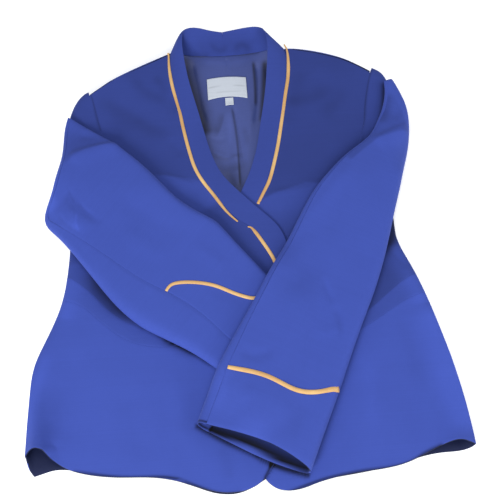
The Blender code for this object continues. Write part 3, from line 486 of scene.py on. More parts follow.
@dataclass(frozen=True)
class Cloth:
    """A woven finish.

    Attributes:
        name: The material's name.
        colour: Its colour, linear.
        light: The colour of its lighter threads and raised fibres, linear.
        roughness: Its roughness.
        pitch: The distance between threads, in metres.
        floats: How many threads each weft thread floats over.
        thread_tone: How much the tone differs from thread to thread.
        mottle: How much the tone differs from place to place.
        relief: The strength of the weave's bump.
        sheen: The weight of the sheen.
        sheen_colour: Its colour, linear.
        specular: The specular level.

    RAISED is the share of the lighter colour on top of a thread, FIBRES the height of the fibres
    against that of the threads, and DEPTH the threads' depth as a share of their pitch.
    """

    name: str
    colour: Colour
    light: Colour
    roughness: float
    pitch: float
    floats: float
    thread_tone: float
    mottle: float
    relief: float
    sheen: float
    sheen_colour: Colour
    specular: float

    RAISED: ClassVar[float] = 0.55
    FIBRES: ClassVar[float] = 0.6
    DEPTH: ClassVar[float] = 1 / 3
    SHEEN_ROUGHNESS: ClassVar[float] = 0.45

    def material(self, groups: PatternGroups, grain: float) -> bpy.types.Material:
        """Make the material with its threads turned to a panel's grain.

        Args:
            groups: The shared node groups.
            grain: The direction of the warp from +Y, in degrees.

        Returns:
            The material.
        """
        made, nodes = open_material(f"{self.name} {grain:.0f}")
        place = nodes.add("ShaderNodeTexCoord").outputs["Object"]
        turn = (0.0, 0.0, math.radians(-grain))
        turned = nodes.add("ShaderNodeMapping", {"Rotation": turn, "Vector": place}).outputs["Vector"]
        weave = {"Place": turned, "Pitch": self.pitch, "Float": self.floats}
        threads = nodes.add("ShaderNodeGroup", weave, node_tree=groups.threads).outputs
        nap = nodes.add("ShaderNodeGroup", {"Place": turned}, node_tree=groups.nap).outputs
        # The tone noted on the mesh, painted light and shade among it, darkens or lightens the colour
        tone_and_painted_light = nodes.add("ShaderNodeAttribute", attribute_name="nap").outputs["Fac"]

        tone = nodes.math("MULTIPLY_ADD", threads["Tone"], 2 * self.thread_tone, 1 - self.thread_tone)
        broad = nodes.math("MULTIPLY_ADD", nap["Broad"], 2 * self.mottle, 1 - self.mottle)
        small = nodes.math("MULTIPLY_ADD", nap["Small"], self.mottle, 1 - self.mottle / 2)
        for factor in (broad, small, tone_and_painted_light):
            tone = nodes.math("MULTIPLY", tone, factor)
        raised = nodes.math("MULTIPLY", threads["Height"], self.RAISED)
        colour = nodes.mix("MIX", raised, (*self.colour, 1.0), (*self.light, 1.0))
        colour = nodes.mix("MULTIPLY", 1.0, colour, tone)
        height = nodes.math("MULTIPLY_ADD", nap["Fibres"], self.FIBRES, threads["Height"])
        nodes.dress(colour, height, (self.relief, self.pitch * self.DEPTH), {
            "Roughness": self.roughness, "Specular IOR Level": self.specular, "Sheen Weight": self.sheen,
            "Sheen Roughness": self.SHEEN_ROUGHNESS, "Sheen Tint": (*self.sheen_colour, 1.0)})
        return made


SUITING = Cloth("Royal suiting", (0.031, 0.056, 0.290), (0.048, 0.081, 0.365), 0.88, 0.00062, 1.0,
                0.02, 0.05, 0.25, 0.16, (0.35, 0.45, 1.0), 0.20)
LINING = Cloth("Lining satin", (0.036, 0.055, 0.205), (0.062, 0.088, 0.278), 0.40, 0.00034, 3.0,
               0.03, 0.06, 0.14, 0.08, (0.6, 0.7, 1.0), 0.40)
# The lining inside the jacket, darkened as painted shade in its openings and under its hems
LINING_IN_PAINTED_SHADE = Cloth("Lining inside", (0.008, 0.012, 0.045), (0.013, 0.019, 0.060), 0.60, 0.00034, 3.0,
                      0.03, 0.08, 0.14, 0.0, (0.6, 0.7, 1.0), 0.15)
LABEL_WEAVE = Cloth("Label taffeta", (0.440, 0.480, 0.540), (0.580, 0.610, 0.660), 0.55, 0.00042, 2.0,
                    0.04, 0.03, 0.20, 0.05, (0.9, 0.9, 1.0), 0.35)
THREAD = Cloth("Label thread", (0.50, 0.54, 0.66), (0.62, 0.66, 0.76), 0.60, 0.00030, 1.0,
               0.02, 0.02, 0.10, 0.0, (1.0, 1.0, 1.0), 0.30)


@dataclass(frozen=True)
class PipingSatin:
    """The gold satin of the piping, which reads its own map: along the run and round it.

    Attributes:
        pale: The colour where the satin faces the light, linear.
        deep: The colour where it turns away or is creased, linear.
        roughness: Its roughness.
        specular: The specular level.
        sheen: The weight of the sheen.
        thread: The distance between its slanting threads, in metres.
        slant: How far the threads run along for each step round.
        patches: The scale and the detail of its patches of painted light and shade.
        spread: The strength of the patches and the tone where they are darkest.
        thread_tone: How much the tone differs across a thread.
        relief: The strength of the threads' bump and their depth, in metres.
    """

    pale: Colour = (0.800, 0.540, 0.215)
    deep: Colour = (0.420, 0.215, 0.070)
    roughness: float = 0.36
    specular: float = 0.5
    sheen: float = 0.12
    thread: float = 0.0006
    slant: float = 0.8
    patches: Pair = (26.0, 3.0)
    spread: Pair = (1.1, -0.10)
    thread_tone: float = 0.05
    relief: Pair = (0.25, 0.0001)

    def material(self) -> bpy.types.Material:
        """Make the material.

        Returns:
            The material.
        """
        made, nodes = open_material("Gold satin")
        run = nodes.add("ShaderNodeUVMap", uv_map="run").outputs[0]
        along, around, _ = nodes.add("ShaderNodeSeparateXYZ", {"Vector": run}).outputs
        slant = nodes.math("ADD", along, nodes.math("MULTIPLY", around, self.slant))
        threads = nodes.math("SINE", nodes.math("MULTIPLY", slant, 2 * math.pi / self.thread))
        scale, detail = self.patches
        noise = nodes.add("ShaderNodeTexNoise", {"Scale": scale, "Detail": detail, "Vector": run})
        # Painted light: the patches and the tone noted along the run mix the satin from its deep colour,
        # where it turns from the light, to its pale one
        tone_and_painted_light = nodes.add("ShaderNodeAttribute", attribute_name="nap").outputs["Fac"]
        tone = nodes.math("MULTIPLY", nodes.math("MULTIPLY_ADD", noise.outputs[0], *self.spread), tone_and_painted_light)
        tone = nodes.math("MULTIPLY_ADD", threads, self.thread_tone, tone)
        colour = nodes.mix("MIX", tone, (*self.deep, 1.0), (*self.pale, 1.0))
        nodes.dress(colour, threads, self.relief, {
            "Roughness": self.roughness, "Specular IOR Level": self.specular, "Sheen Weight": self.sheen})
        return made


# Panels


class Outside(Enum):
    """Which of a sheet's two sides shows on the jacket's outside."""

    UP = "the side that faces up"
    DOWN = "the side that faces down"
    LARGER = "the larger side of a turned sheet"
    BOTH = "both sides alike"


@dataclass(frozen=True)
class Cut:
    """One panel: its solid, its size before it was sewn and how it is finished.

    Attributes:
        node: The solid in the frame.
        flat: The width and length that it shows, laid flat, in metres. Not used.
        area: Its flat area, in square metres. Not used.
        rests_on: What it lies on. Not used.
        outside: Which of its sides is the cloth's outside.
        slot: The record's material slot. Not used.
        levels: How often it is refined.
    """

    node: str
    flat: Pair
    area: float
    rests_on: tuple[str, ...] = ()
    outside: Outside = Outside.UP
    slot: str = "cloth"
    levels: int = 2


class Panel:
    """A cloth panel made from its solid in the frame.

    Its values are in metres, but for those named here. QUADS holds the most that two triangles may
    bend and skew to become one quad, and BEVEL_FROM the angle from which an edge is bevelled, in
    degrees. FOLD is the angle of a fold's edge, in radians. HEMWARD is the slope of a rim that faces
    the hem. RIM_WALLS is how many walls deep the cloth is behind a rim. AGREED is how far the rims
    round a corner agree where it moves.
    """

    WALL = 0.0016
    SKIN = 0.00005
    RIM_BEVEL = 0.00022
    SEAM_CLOSE = 0.00021
    MIDDLE = (0.0014, 0.0048)
    MIDDLE_FROM = 0.305
    MIDDLE_GAP = 0.0007
    QUADS = (50.0, 75.0)
    BEVEL_FROM = 50.0
    FOLD = 0.9
    HEMWARD = -0.5
    RIM_WALLS = 1.6
    AGREED = 0.5

    def __init__(self, cut: Cut, outside: bpy.types.Material, inside: bpy.types.Material) -> None:
        """Note the panel's cut and the finishes of its outside and inside."""
        self.cut = cut
        self.finishes = (outside, inside)

    def build(self, drape: Drape, hold: Hold, more: tuple[str, ...] = ()) -> bpy.types.Object:
        """Make the panel.

        Args:
            drape: Its creases and its tone, with painted light and shade.
            hold: Gives how freely the cloth can move at each point, from 0 to 1.
            more: Further solids that are joined to this one.

        Returns:
            The finished piece.
        """
        mesh = self.quads((self.cut.node, *more))
        piece = placed(mesh.name, mesh)
        for finish in self.finishes:
            mesh.materials.append(finish)
        self.refine(piece)
        self.lay(mesh, drape, hold)
        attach(piece, "root")
        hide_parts(self.cut.node, *more)
        LOG.info("%s: %d faces", piece.name, len(piece.data.polygons))
        return piece

    def quads(self, nodes: tuple[str, ...]) -> bpy.types.Mesh:
        """Copy the solids as one mesh of quads with its rims and inner side marked.

        Args:
            nodes: The solids' names.

        Returns:
            The mesh.
        """
        builder = merged_copy(nodes)
        if len(nodes) > 1:
            self.close_middle(builder)
        join_quads(builder, *self.QUADS)
        builder.normal_update()
        builder.faces.ensure_lookup_table()
        sides = self.sides(builder)
        shell = {face.index for side in sides for face in side}
        inner = set(self.inner_side(*sides))
        for face in builder.faces:
            face.material_index = int(face in inner)
        crease = builder.edges.layers.float.new("crease_edge")
        for edge in builder.edges:
            if self.is_sharp(edge, shell):
                edge[crease] = 1.0
        self.finish_edges(builder, shell)
        self.shape(builder)
        mesh = bpy.data.meshes.new(f"{self.cut.node}_cloth")
        builder.to_mesh(mesh)
        builder.free()
        if mesh.attributes.get("custom_normal"):
            mesh.attributes.remove(mesh.attributes["custom_normal"])
        return mesh

    def is_sharp(self, edge: bmesh.types.BMEdge, shell: set[int]) -> bool:
        """Tell whether an edge stays sharp: between a side and a rim, or at a rim's own corner.

        Args:
            edge: The edge.
            shell: The faces of the sheet's two sides.

        Returns:
            Whether it is sharp.
        """
        in_shell = [face.index in shell for face in edge.link_faces]
        if len(in_shell) != 2:
            return False
        return in_shell[0] != in_shell[1] or not any(in_shell) and edge.calc_face_angle() > self.FOLD

    def finish_edges(self, builder: bmesh.types.BMesh, shell: set[int]) -> None:
        """Close the seams to a fine line and give the rims that face the hem the dark inner finish, which
        paints the shadow under the hem.

        Args:
            builder: The solid's mesh.
            shell: The faces of the sheet's two sides.
        """
        push = {}
        for face in builder.faces:
            if face.index in shell:
                continue
            # Painted shadow: rims that face the hem take the dark inner finish
            if self.cut.outside is not Outside.BOTH and face.normal.y < self.HEMWARD:
                face.material_index = 1
            for vert in face.verts:
                push[vert] = push.get(vert, Vector()) + face.normal
        for vert, way in push.items():
            if way.length > self.AGREED:
                vert.co += way.normalized() * self.SEAM_CLOSE

    def shape(self, builder: bmesh.types.BMesh) -> None:
        """Change the panel's form before it is refined; most keep that of their solid."""

    def close_middle(self, builder: bmesh.types.BMesh) -> None:
        """Sew the collar's two halves together at the back of the neck, where a hair's gap parts them."""
        ends = {vert for vert in builder.verts
                if self.MIDDLE[0] < vert.co.x < self.MIDDLE[1] and vert.co.y > self.MIDDLE_FROM}
        inner = [face for face in builder.faces if all(vert in ends for vert in face.verts)]
        bmesh.ops.delete(builder, geom=inner, context="FACES_ONLY")
        bmesh.ops.remove_doubles(builder, verts=list(ends), dist=self.MIDDLE_GAP)

    def rims(self, builder: bmesh.types.BMesh) -> set[int]:
        """Find the faces of the sheet's cut edges, where the wall behind a face isn't one cloth thick.

        Args:
            builder: The solid's mesh.

        Returns:
            The faces' indices.
        """
        tree = BVHTree.FromBMesh(builder)
        found = set()
        for face in builder.faces:
            origin = face.calc_center_median() - face.normal * self.SKIN
            if tree.ray_cast(origin, -face.normal, self.RIM_WALLS * self.WALL)[0] is None:
                found.add(face.index)
        return found

    def sides(self, builder: bmesh.types.BMesh) -> tuple[list[bmesh.types.BMFace], list[bmesh.types.BMFace]]:
        """Part the sheet's two sides from one another, leaving out its rims.

        Args:
            builder: The solid's mesh.

        Returns:
            The faces of the larger side and those of the smaller.
        """
        seen = self.rims(builder)
        sides = []
        for first in builder.faces:
            if first.index in seen:
                continue
            seen.add(first.index)
            side, queue = [], [first]
            while queue:
                face = queue.pop()
                side.append(face)
                for edge in face.edges:
                    if len(edge.link_faces) < 2 or edge.is_convex and edge.calc_face_angle() > self.FOLD:
                        continue
                    for other in edge.link_faces:
                        if other.index not in seen:
                            seen.add(other.index)
                            queue.append(other)
            sides.append(side)
        sides.sort(key=lambda side: -sum(face.calc_area() for face in side))
        return sides[0], sides[1]

    def inner_side(self, larger: list[bmesh.types.BMFace],
                   smaller: list[bmesh.types.BMFace]) -> list[bmesh.types.BMFace]:
        """Choose the side that faces into the jacket.

        Args:
            larger: The faces of one side.
            smaller: The faces of the other.

        Returns:
            The faces of the inner side.
        """
        if self.cut.outside is Outside.BOTH:
            return []
        if self.cut.outside is Outside.LARGER:
            return smaller
        sign = 1.0 if self.cut.outside is Outside.UP else -1.0
        return min((larger, smaller),
                   key=lambda side: sign * sum(face.normal.z * face.calc_area() for face in side))

    def refine(self, piece: bpy.types.Object) -> None:
        """Round the panel and soften its cut edges with modifiers that are applied."""
        bpy.ops.object.select_all(action="DESELECT")
        piece.select_set(True)
        bpy.context.view_layer.objects.active = piece
        smooth = piece.modifiers.new("Smooth", "SUBSURF")
        smooth.levels = smooth.render_levels = self.cut.levels
        smooth.boundary_smooth = "PRESERVE_CORNERS"
        bpy.ops.object.modifier_apply(modifier=smooth.name)
        edges = piece.modifiers.new("Edges", "BEVEL")
        edges.width = self.RIM_BEVEL
        edges.segments = 2
        edges.limit_method = "ANGLE"
        edges.angle_limit = math.radians(self.BEVEL_FROM)
        bpy.ops.object.modifier_apply(modifier=edges.name)
        bpy.ops.object.shade_smooth()

    @staticmethod
    def lay(mesh: bpy.types.Mesh, drape: Drape, hold: Hold) -> None:
        """Move the creases in and note the tone, with its painted light and shade.

        Args:
            mesh: The refined panel.
            drape: Its creases and its tone, with painted light and shade.
            hold: Gives how freely the cloth can move at each point.
        """
        points = points_of(mesh)
        plan = points[:, :2] / MM
        points[:, 2] += drape.lift(plan) * hold(points)
        for nudge in drape.nudges:
            points[:, :2] += nudge.at(plan) * MM
        move_points(mesh, points)
        note_tone_and_painted_light(mesh, drape.nap(plan))


class Holds:
    """How freely cloth can move at a point: not at all near folds, seams and what it lies on.

    UNDER is a height below the table, where the measure of a lower layer starts.
    """

    UNDER = -0.01

    @staticmethod
    def over_table(low: float, high: float) -> Hold:
        """Free above a height over the table.

        Args:
            low: The height up to which nothing moves.
            high: The height from which it moves freely.

        Returns:
            The hold.
        """
        return lambda points: smooth_step(low, high, points[:, 2])

    @classmethod
    def over_layer(cls, node: str, low: float, high: float) -> Hold:
        """Free above the lower layer of a tube.

        Args:
            node: The solid of the lower layer.
            low: The height over it up to which nothing moves.
            high: The height from which it moves freely.

        Returns:
            The hold.
        """
        tree = surface_of([solid(node)])

        def hold(points: np.ndarray) -> np.ndarray:
            """Read the height over the lower layer at each point."""
            rise = np.zeros(len(points))
            for i, (x, y, z) in enumerate(points):
                hit = tree.ray_cast(Vector((x, y, cls.UNDER)), UP)[0]
                rise[i] = 0.0 if hit is None else z - hit.z
            return smooth_step(low, high, rise)

        return hold

    @staticmethod
    def free(points: np.ndarray) -> np.ndarray:
        """Everything moves."""
        return np.ones(len(points))


@dataclass(frozen=True)
class PipingCut:
    """A run of piping.

    Attributes:
        node: The solid in the frame.
        width: Its full width, in metres.
        thin_start: How narrow it is at its start, as a share of the width.
        thin_end: How narrow it is at its end.
        length: The length it was cut to, in metres. Not used.
        rests_on: What it lies on. Not used.
    """

    node: str
    width: float
    thin_start: float
    thin_end: float
    length: float
    rests_on: tuple[str, ...]


class Piping:
    """A satin strip sewn into a seam, swept along the middle of its solid and laid on the cloth.

    Lengths are in metres. ROUND counts the points round the strip. HEIGHT is how far it stands up, and
    SUNK the share of that below. STEP is the distance between points along it, and TAPER the share of
    its length over which an end is thin. SHOWN is the cloth that shows for each width, and FLAT the
    width before it was sewn. QUADS, the bend and skew of a quad in degrees, and LINK, the longest edge
    within a section, read the solid. FINE is how often a stretch is cut to round it, and SMOOTHINGS
    how often the line and its tilt are evened out. FOOT, LOOK and TOPMOST are how far round a point
    the cloth's height is read, from how far above and how deep, and how many of the highest readings
    count, and TILT_LOOK is the look for its tilt. TONES are the satin's middle tone, how far it swings
    and how many radians it turns through.
    """

    ROUND = 10
    HEIGHT = 0.0011
    SUNK = 0.25
    STEP = 0.0025
    TAPER = 0.14
    SHOWN = 1.1
    FLAT = 0.010
    QUADS = (40.0, 80.0)
    LINK = 0.0022
    FINE = 12
    SMOOTHINGS = 8
    FOOT = 0.0009
    LOOK = (0.004, 0.010)
    TOPMOST = 5
    TILT_LOOK = (0.003, 0.005)
    # TONES paint light along the satin: its tone rises and falls along the run as it turns to and from the
    # light
    TONES = (0.75, 0.35, 9.0)

    def __init__(self, cut: PipingCut, finish: bpy.types.Material, ground: BVHTree) -> None:
        """Note the run's sizes, its finish and the cloth that it lies on."""
        self.cut = cut
        self.finish = finish
        self.ground = ground

    def sections(self) -> list[np.ndarray]:
        """Find the sections of the solid across its run.

        Returns:
            The middle of each section, in no order.
        """
        builder = merged_copy((self.cut.node,))
        join_quads(builder, *self.QUADS)
        left = set(builder.verts)
        middles = []
        while left:
            queue = [left.pop()]
            section = []
            while queue:
                vert = queue.pop()
                section.append(vert)
                for edge in vert.link_edges:
                    other = edge.other_vert(vert)
                    if other in left and edge.calc_length() < self.LINK:
                        left.discard(other)
                        queue.append(other)
            middles.append(np.mean([vert.co for vert in section], axis=0))
        builder.free()
        return middles

    def middle(self) -> np.ndarray:
        """Read the middle line of the run from its solid.

        Returns:
            Evenly spaced points along it, in metres.
        """
        left = self.sections()
        order = [left.pop(int(np.argmin([place[0] for place in left])))]
        while left:
            nearest = int(np.argmin([np.linalg.norm(place - order[-1]) for place in left]))
            order.append(left.pop(nearest))
        line = rounded_line(np.array(order), self.FINE)
        along = distances(line)
        at = np.linspace(0.0, along[-1], int(along[-1] / self.STEP) + 1)
        return np.stack([np.interp(at, along, line[:, k]) for k in range(3)], axis=1)

    def cloth_under(self, place: np.ndarray, look: Pair) -> Optional[float]:
        """Look down for the cloth at a place.

        Args:
            place: The place.
            look: From how far above it the look starts, and how deep it goes.

        Returns:
            The cloth's height, or None where there is none.
        """
        above, depth = look
        x, y, z = place
        hit = self.ground.ray_cast(Vector((x, y, z + above)), -UP, depth)[0]
        return None if hit is None else hit.z

    def normal_at(self, point: np.ndarray, step: np.ndarray) -> np.ndarray:
        """Find how the cloth is tilted across the run.

        Args:
            point: A point of the run.
            step: The run's direction there.

        Returns:
            The direction away from the cloth.
        """
        across = np.array([-step[1], step[0], 0.0])
        across *= self.cut.width / 2 / np.linalg.norm(across)
        feet = []
        for place in (point - across, point + across):
            low = self.cloth_under(place, self.TILT_LOOK)
            feet.append(np.array([place[0], place[1], place[2] if low is None else low]))
        normal = np.cross(step, feet[1] - feet[0])
        return normal / np.linalg.norm(normal)

    def height_at(self, point: np.ndarray) -> float:
        """Find the cloth's height round a point, over the thin gaps of the seams.

        Args:
            point: A point of the run.

        Returns:
            The height.
        """
        steps = (-self.FOOT, 0.0, self.FOOT)
        feet = [self.cloth_under(point + (x, y, 0.0), self.LOOK) for x in steps for y in steps]
        found = sorted(foot for foot in feet if foot is not None)
        return float(np.median(found[-self.TOPMOST:])) if found else float(point[2])

    def evened(self, rows: np.ndarray) -> np.ndarray:
        """Even out rows along the run, and leave the two at its ends.

        Args:
            rows: Its points or directions, changed in place.

        Returns:
            The same rows.
        """
        for _ in range(self.SMOOTHINGS):
            rows[1:-1] = (rows[:-2] + 2 * rows[1:-1] + rows[2:]) / 4
        return rows

    def swept(self, line: np.ndarray, normals: np.ndarray, run: np.ndarray) -> bpy.types.Mesh:
        """Sweep the strip's round section along its line.

        Args:
            line: The points of its line.
            normals: The way up from the cloth at each.
            run: How far along the line each lies.

        Returns:
            The strip's mesh, with its own map.
        """
        side = np.cross(normals, np.gradient(line, axis=0))
        side /= np.linalg.norm(side, axis=1)[:, None]
        shares = (self.cut.thin_start, 1.0, 1.0, self.cut.thin_end)
        wide = np.interp(run / run[-1], (0.0, self.TAPER, 1.0 - self.TAPER, 1.0), shares)
        turns = 2 * math.pi * np.arange(self.ROUND) / self.ROUND
        builder = bmesh.new()
        rings = []
        for point, normal, across, width in zip(line, normals, side, wide * self.cut.width / 2):
            levels = [self.HEIGHT * (up if up > 0 else self.SUNK * up) for up in np.sin(turns)]
            rings.append([builder.verts.new(point + across * width * math.cos(turn) + normal * level)
                          for turn, level in zip(turns, levels)])
        layer = builder.loops.layers.uv.new("run")
        for i, (ring, following) in enumerate(zip(rings, rings[1:])):
            for k in range(self.ROUND):
                j = (k + 1) % self.ROUND
                face = builder.faces.new((ring[k], ring[j], following[j], following[k]))
                for loop, (u, v) in zip(face.loops, ((i, k), (i, k + 1), (i + 1, k + 1), (i + 1, k))):
                    loop[layer].uv = (run[u], v * self.cut.width / self.ROUND)
        for ring in (rings[0], rings[-1]):
            builder.faces.new(ring)
        bmesh.ops.recalc_face_normals(builder, faces=builder.faces)
        mesh = bpy.data.meshes.new(f"{self.cut.node}_satin")
        builder.to_mesh(mesh)
        builder.free()
        return mesh

    def build(self) -> bpy.types.Object:
        """Lay the strip along its line on the finished cloth.

        Returns:
            The finished piece.
        """
        line = self.middle()
        line[:, 2] = [self.height_at(point) for point in line]
        line = self.evened(line)
        along = np.gradient(line, axis=0)
        normals = self.evened(np.array([self.normal_at(point, step) for point, step in zip(line, along)]))
        normals /= np.linalg.norm(normals, axis=1)[:, None]
        run = distances(line)
        mesh = self.swept(line, normals, run)
        piece = placed(mesh.name, mesh)
        mesh.materials.append(self.finish)
        # Painted light: the satin's tone swings along the run, as if it turned to and from the light
        tone, swing, turns = self.TONES
        note_tone_and_painted_light(mesh, np.repeat(tone + swing * np.sin(run / run[-1] * turns + len(line)), self.ROUND))
        mesh.shade_smooth()
        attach(piece, "root")
        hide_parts(self.cut.node)
        LOG.info("%s: %.3f m long", piece.name, run[-1])
        return piece


# How each part of the jacket lies, and its painted light and shade


# Each armhole seam runs between a front and a sleeve head, and is painted as a thin line of shade on both
ARMHOLE_SEAMS = (
    Crease(((210, 264), (200, 235), (193, 206.5), (188, 173.5), (180, 141)), -0.20, 1.2, 1.2, 0.01),
    Crease(((-190.3, 255.6), (-184.9, 236.5), (-179.5, 210.9), (-174.2, 187.3)), -0.20, 1.2, 1.2, 0.01),
)
FRONT_DRAPE = Drape(
    creases=(
        # Bust folds, swelling below the line
        Crease(((-112, 108), (-92, 107), (-74, 101), (-42, 88)), 2.4, 5.0, 24.0),
        Crease(((36, 64), (59, 71), (80, 72), (106, 77), (136, 87)), 2.2, 6.0, 26.0),
        # Hollows and soft swells beside the piping, at the shoulders and beside the left sleeve
        Crease(((-96, 250), (-84, 240), (-70, 222), (-66, 205)), -1.8, 10.0, 12.0),
        Crease(((-84, 170), (-76, 160), (-60, 140)), -1.2, 8.0, 9.0),
        Crease(((96, 238), (91, 222), (86, 205), (80, 178)), -1.8, 13.0, 9.0),
        Crease(((-164, 276), (-133, 262), (-112, 238)), 1.4, 12.0, 14.0),
        Crease(((-165, 222), (-140, 205), (-118, 190)), -1.4, 14.0, 16.0),
        Crease(((120, 260), (140, 232), (150, 196)), -1.5, 16.0, 15.0),
        Crease(((152, 190), (148, 160), (138, 128)), 1.0, 10.0, 12.0),
        # Folds that run in under the sleeves
        Crease(((-190, -36), (-172, -63), (-150, -92)), -2.2, 12.0, 10.0),
        Crease(((200, -18), (210, -34), (222, -50)), -1.4, 7.0, 6.0),
        Crease(((-97, -118), (-97, -128), (-96, -140)), -0.9, 2.2, 2.2),
        # Long soft waves of the peplum
        Crease(((-205, -120), (-215, -190), (-213, -278)), -1.4, 15.0, 17.0),
        Crease(((-243, -133), (-257, -199), (-259, -255)), 1.2, 9.0, 12.0),
        Crease(((-150, -170), (-136, -240), (-121, -300)), -1.2, 17.0, 17.0),
        Crease(((-90, -150), (-84, -210), (-70, -290)), 1.0, 16.0, 14.0),
        Crease(((204, -140), (202, -205), (198, -290)), -1.4, 12.0, 15.0),
        Crease(((232, -118), (243, -190), (252, -270)), 1.3, 11.0, 10.0),
        Crease(((150, -190), (155, -250), (150, -306)), 1.0, 14.0, 14.0),
        Crease(((110, -200), (116, -250), (112, -308)), -0.9, 12.0, 12.0),
    ),
    shades=(
        # Painted light below the bust folds and at the sides of the waist, where the cloth turns to the
        # light
        Crease(((-112, 110), (-73, 103), (-47, 97), (-34, 84), (-18, 56)), 0.20, 1.8, 50.0, 0.10),
        Crease(((8, 44), (46, 66), (69, 73), (87, 79), (104, 83), (127, 76)), 0.20, 1.8, 50.0, 0.08),
        Crease(((203, -10), (220, -56), (236, -104)), 0.22, 16.0, 16.0, 0.1),
        Crease(((-214, -8), (-216, -50), (-226, -96)), 0.14, 14.0, 14.0, 0.1),
        # Painted shade in the hollows of the chest
        Crease(((-186, 240), (-134, 207), (-103, 184), (-66, 169)), -0.12, 9.0, 14.0),
        Crease(((-132, 266), (-112, 244), (-80, 226)), -0.09, 8.0, 9.0),
        Crease(((-100, 272), (-88, 254), (-79, 236)), -0.09, 7.0, 7.0),
        Crease(((70, 222), (98, 216), (128, 222), (156, 240)), -0.09, 12.0, 9.0, 0.3),
        Crease(((112, 270), (100, 240), (88, 206)), -0.06, 12.0, 12.0),
        Crease(((171, 237), (150, 209), (127, 181)), -0.06, 12.0, 12.0),
        *ARMHOLE_SEAMS,
        # Painted shadow under the hems' turned edges and beside the right front's lapped corner
        Crease(((-216, -292), (-156, -302.6), (-101, -306.6), (-74, -316.6), (-41, -330.6), (-14, -332)),
               -0.80, 2.2, 2.2, 0.02),
        Crease(((30, -334), (39, -334.6), (84, -321.6), (124, -315.6), (164, -312.6), (188, -307.6),
                (209, -297.6), (230, -290.6)), -0.80, 2.2, 2.2, 0.02),
        Crease(((12, -318), (19, -307), (26, -291)), -0.75, 2.0, 2.0, 0.05),
        # Painted deep shade under the right sleeve's lower edge
        Crease(((-213, 6), (-188, -22), (-169, -51), (-137, -90), (-100, -126), (-71, -145), (-35, -172)),
               -0.55, 4.0, 2.6, 0.05),
        Crease(((-197, -22), (-176, -53), (-150, -86), (-128, -105)), -0.38, 10.0, 10.0, 0.28),
        Crease(((-104, -122), (-79, -138), (-52, -154)), -0.50, 6.0, 8.0, 0.3),
        # Painted shadow along the line where the left cuff's mouth meets the peplum
        Crease(((-66, -243), (-31, -267), (-4, -282), (27, -301), (69, -317)), -0.92, 4.5, 4.0, 0.03),
        # Painted shade beside the left sleeve
        Crease(((208, 40), (208, 7), (188, -36)), -0.42, 8.0, 8.0, 0.25),
        Crease(((191, -31), (172, -64), (144, -133), (115, -202), (70, -310)), -0.24, 4.0, 5.0, 0.08),
        # Painted light and shade on the side folds and the peplum's soft waves
        Crease(((242, -97), (257, -194), (262, -286)), 0.22, 17.0, 24.0, 0.12),
        Crease(((-243, -133), (-262, -200), (-268, -262)), 0.14, 9.0, 9.0, 0.15),
        Crease(((-226, -180), (-233, -210), (-238, -262)), -0.04, 11.0, 12.0),
        Crease(((-57, -186), (-68, -225), (-84, -262)), -0.05, 12.0, 12.0),
        Crease(((-36, -265), (-30, -295), (-25, -322)), -0.08, 8.0, 9.0),
        Crease(((196, -105), (208, -164), (219, -230)), -0.06, 9.0, 10.0),
        Crease(((150, -150), (150, -226), (148, -290)), 0.05, 11.0, 11.0),
    ),
    ripple=0.35)
BACK_DRAPE = Drape(
    creases=(
        Crease(((-150, 130), (-60, 80), (60, 60), (160, 90)), 0.9, 12.0, 22.0),
        Crease(((-170, -60), (-90, -90), (10, -84), (120, -96), (190, -70)), 0.8, 14.0, 10.0),
        Crease(((-60, -120), (-70, -200), (-64, -280)), 0.8, 14.0, 12.0),
        Crease(((96, -130), (100, -210), (112, -280)), 0.7, 12.0, 14.0),
        Crease(((4, 270), (3, 120), (4, -60), (4, -296)), 0.5, 1.6, 1.6, 0.02),
    ),
    tone=0.97, ripple=0.0)
# The collar's lower tone is painted shade, as the light falls off towards the neck; its shades are painted
# shade in its inner corners and along its back, and painted light and shade on its small wrinkles
COLLAR_DRAPE = Drape(
    creases=(
        Crease(((-62, 210), (-58, 170), (-44, 130)), -0.6, 6.0, 8.0),
        Crease(((60, 226), (56, 190), (44, 140)), -0.6, 6.0, 8.0),
    ),
    shades=(
        Crease(((-74, 318), (-60, 330), (-48, 338)), -0.16, 10.0, 10.0),
        Crease(((74, 316), (60, 328), (50, 336)), -0.16, 10.0, 10.0),
        Crease(((-40, 311), (10, 317), (50, 308)), -0.12, 12.0, 12.0, 0.15),
        Crease(((-44, 316), (-30, 308), (-16, 311)), -0.12, 3.0, 4.0),
        Crease(((-20, 322), (-4, 314), (12, 318)), -0.10, 3.0, 3.0),
        Crease(((14, 312), (28, 318), (44, 312)), -0.12, 3.0, 3.5),
        Crease(((-8, 308), (6, 306), (20, 309)), 0.10, 3.0, 3.0),
    ),
    tone=0.74, ripple=0.12)
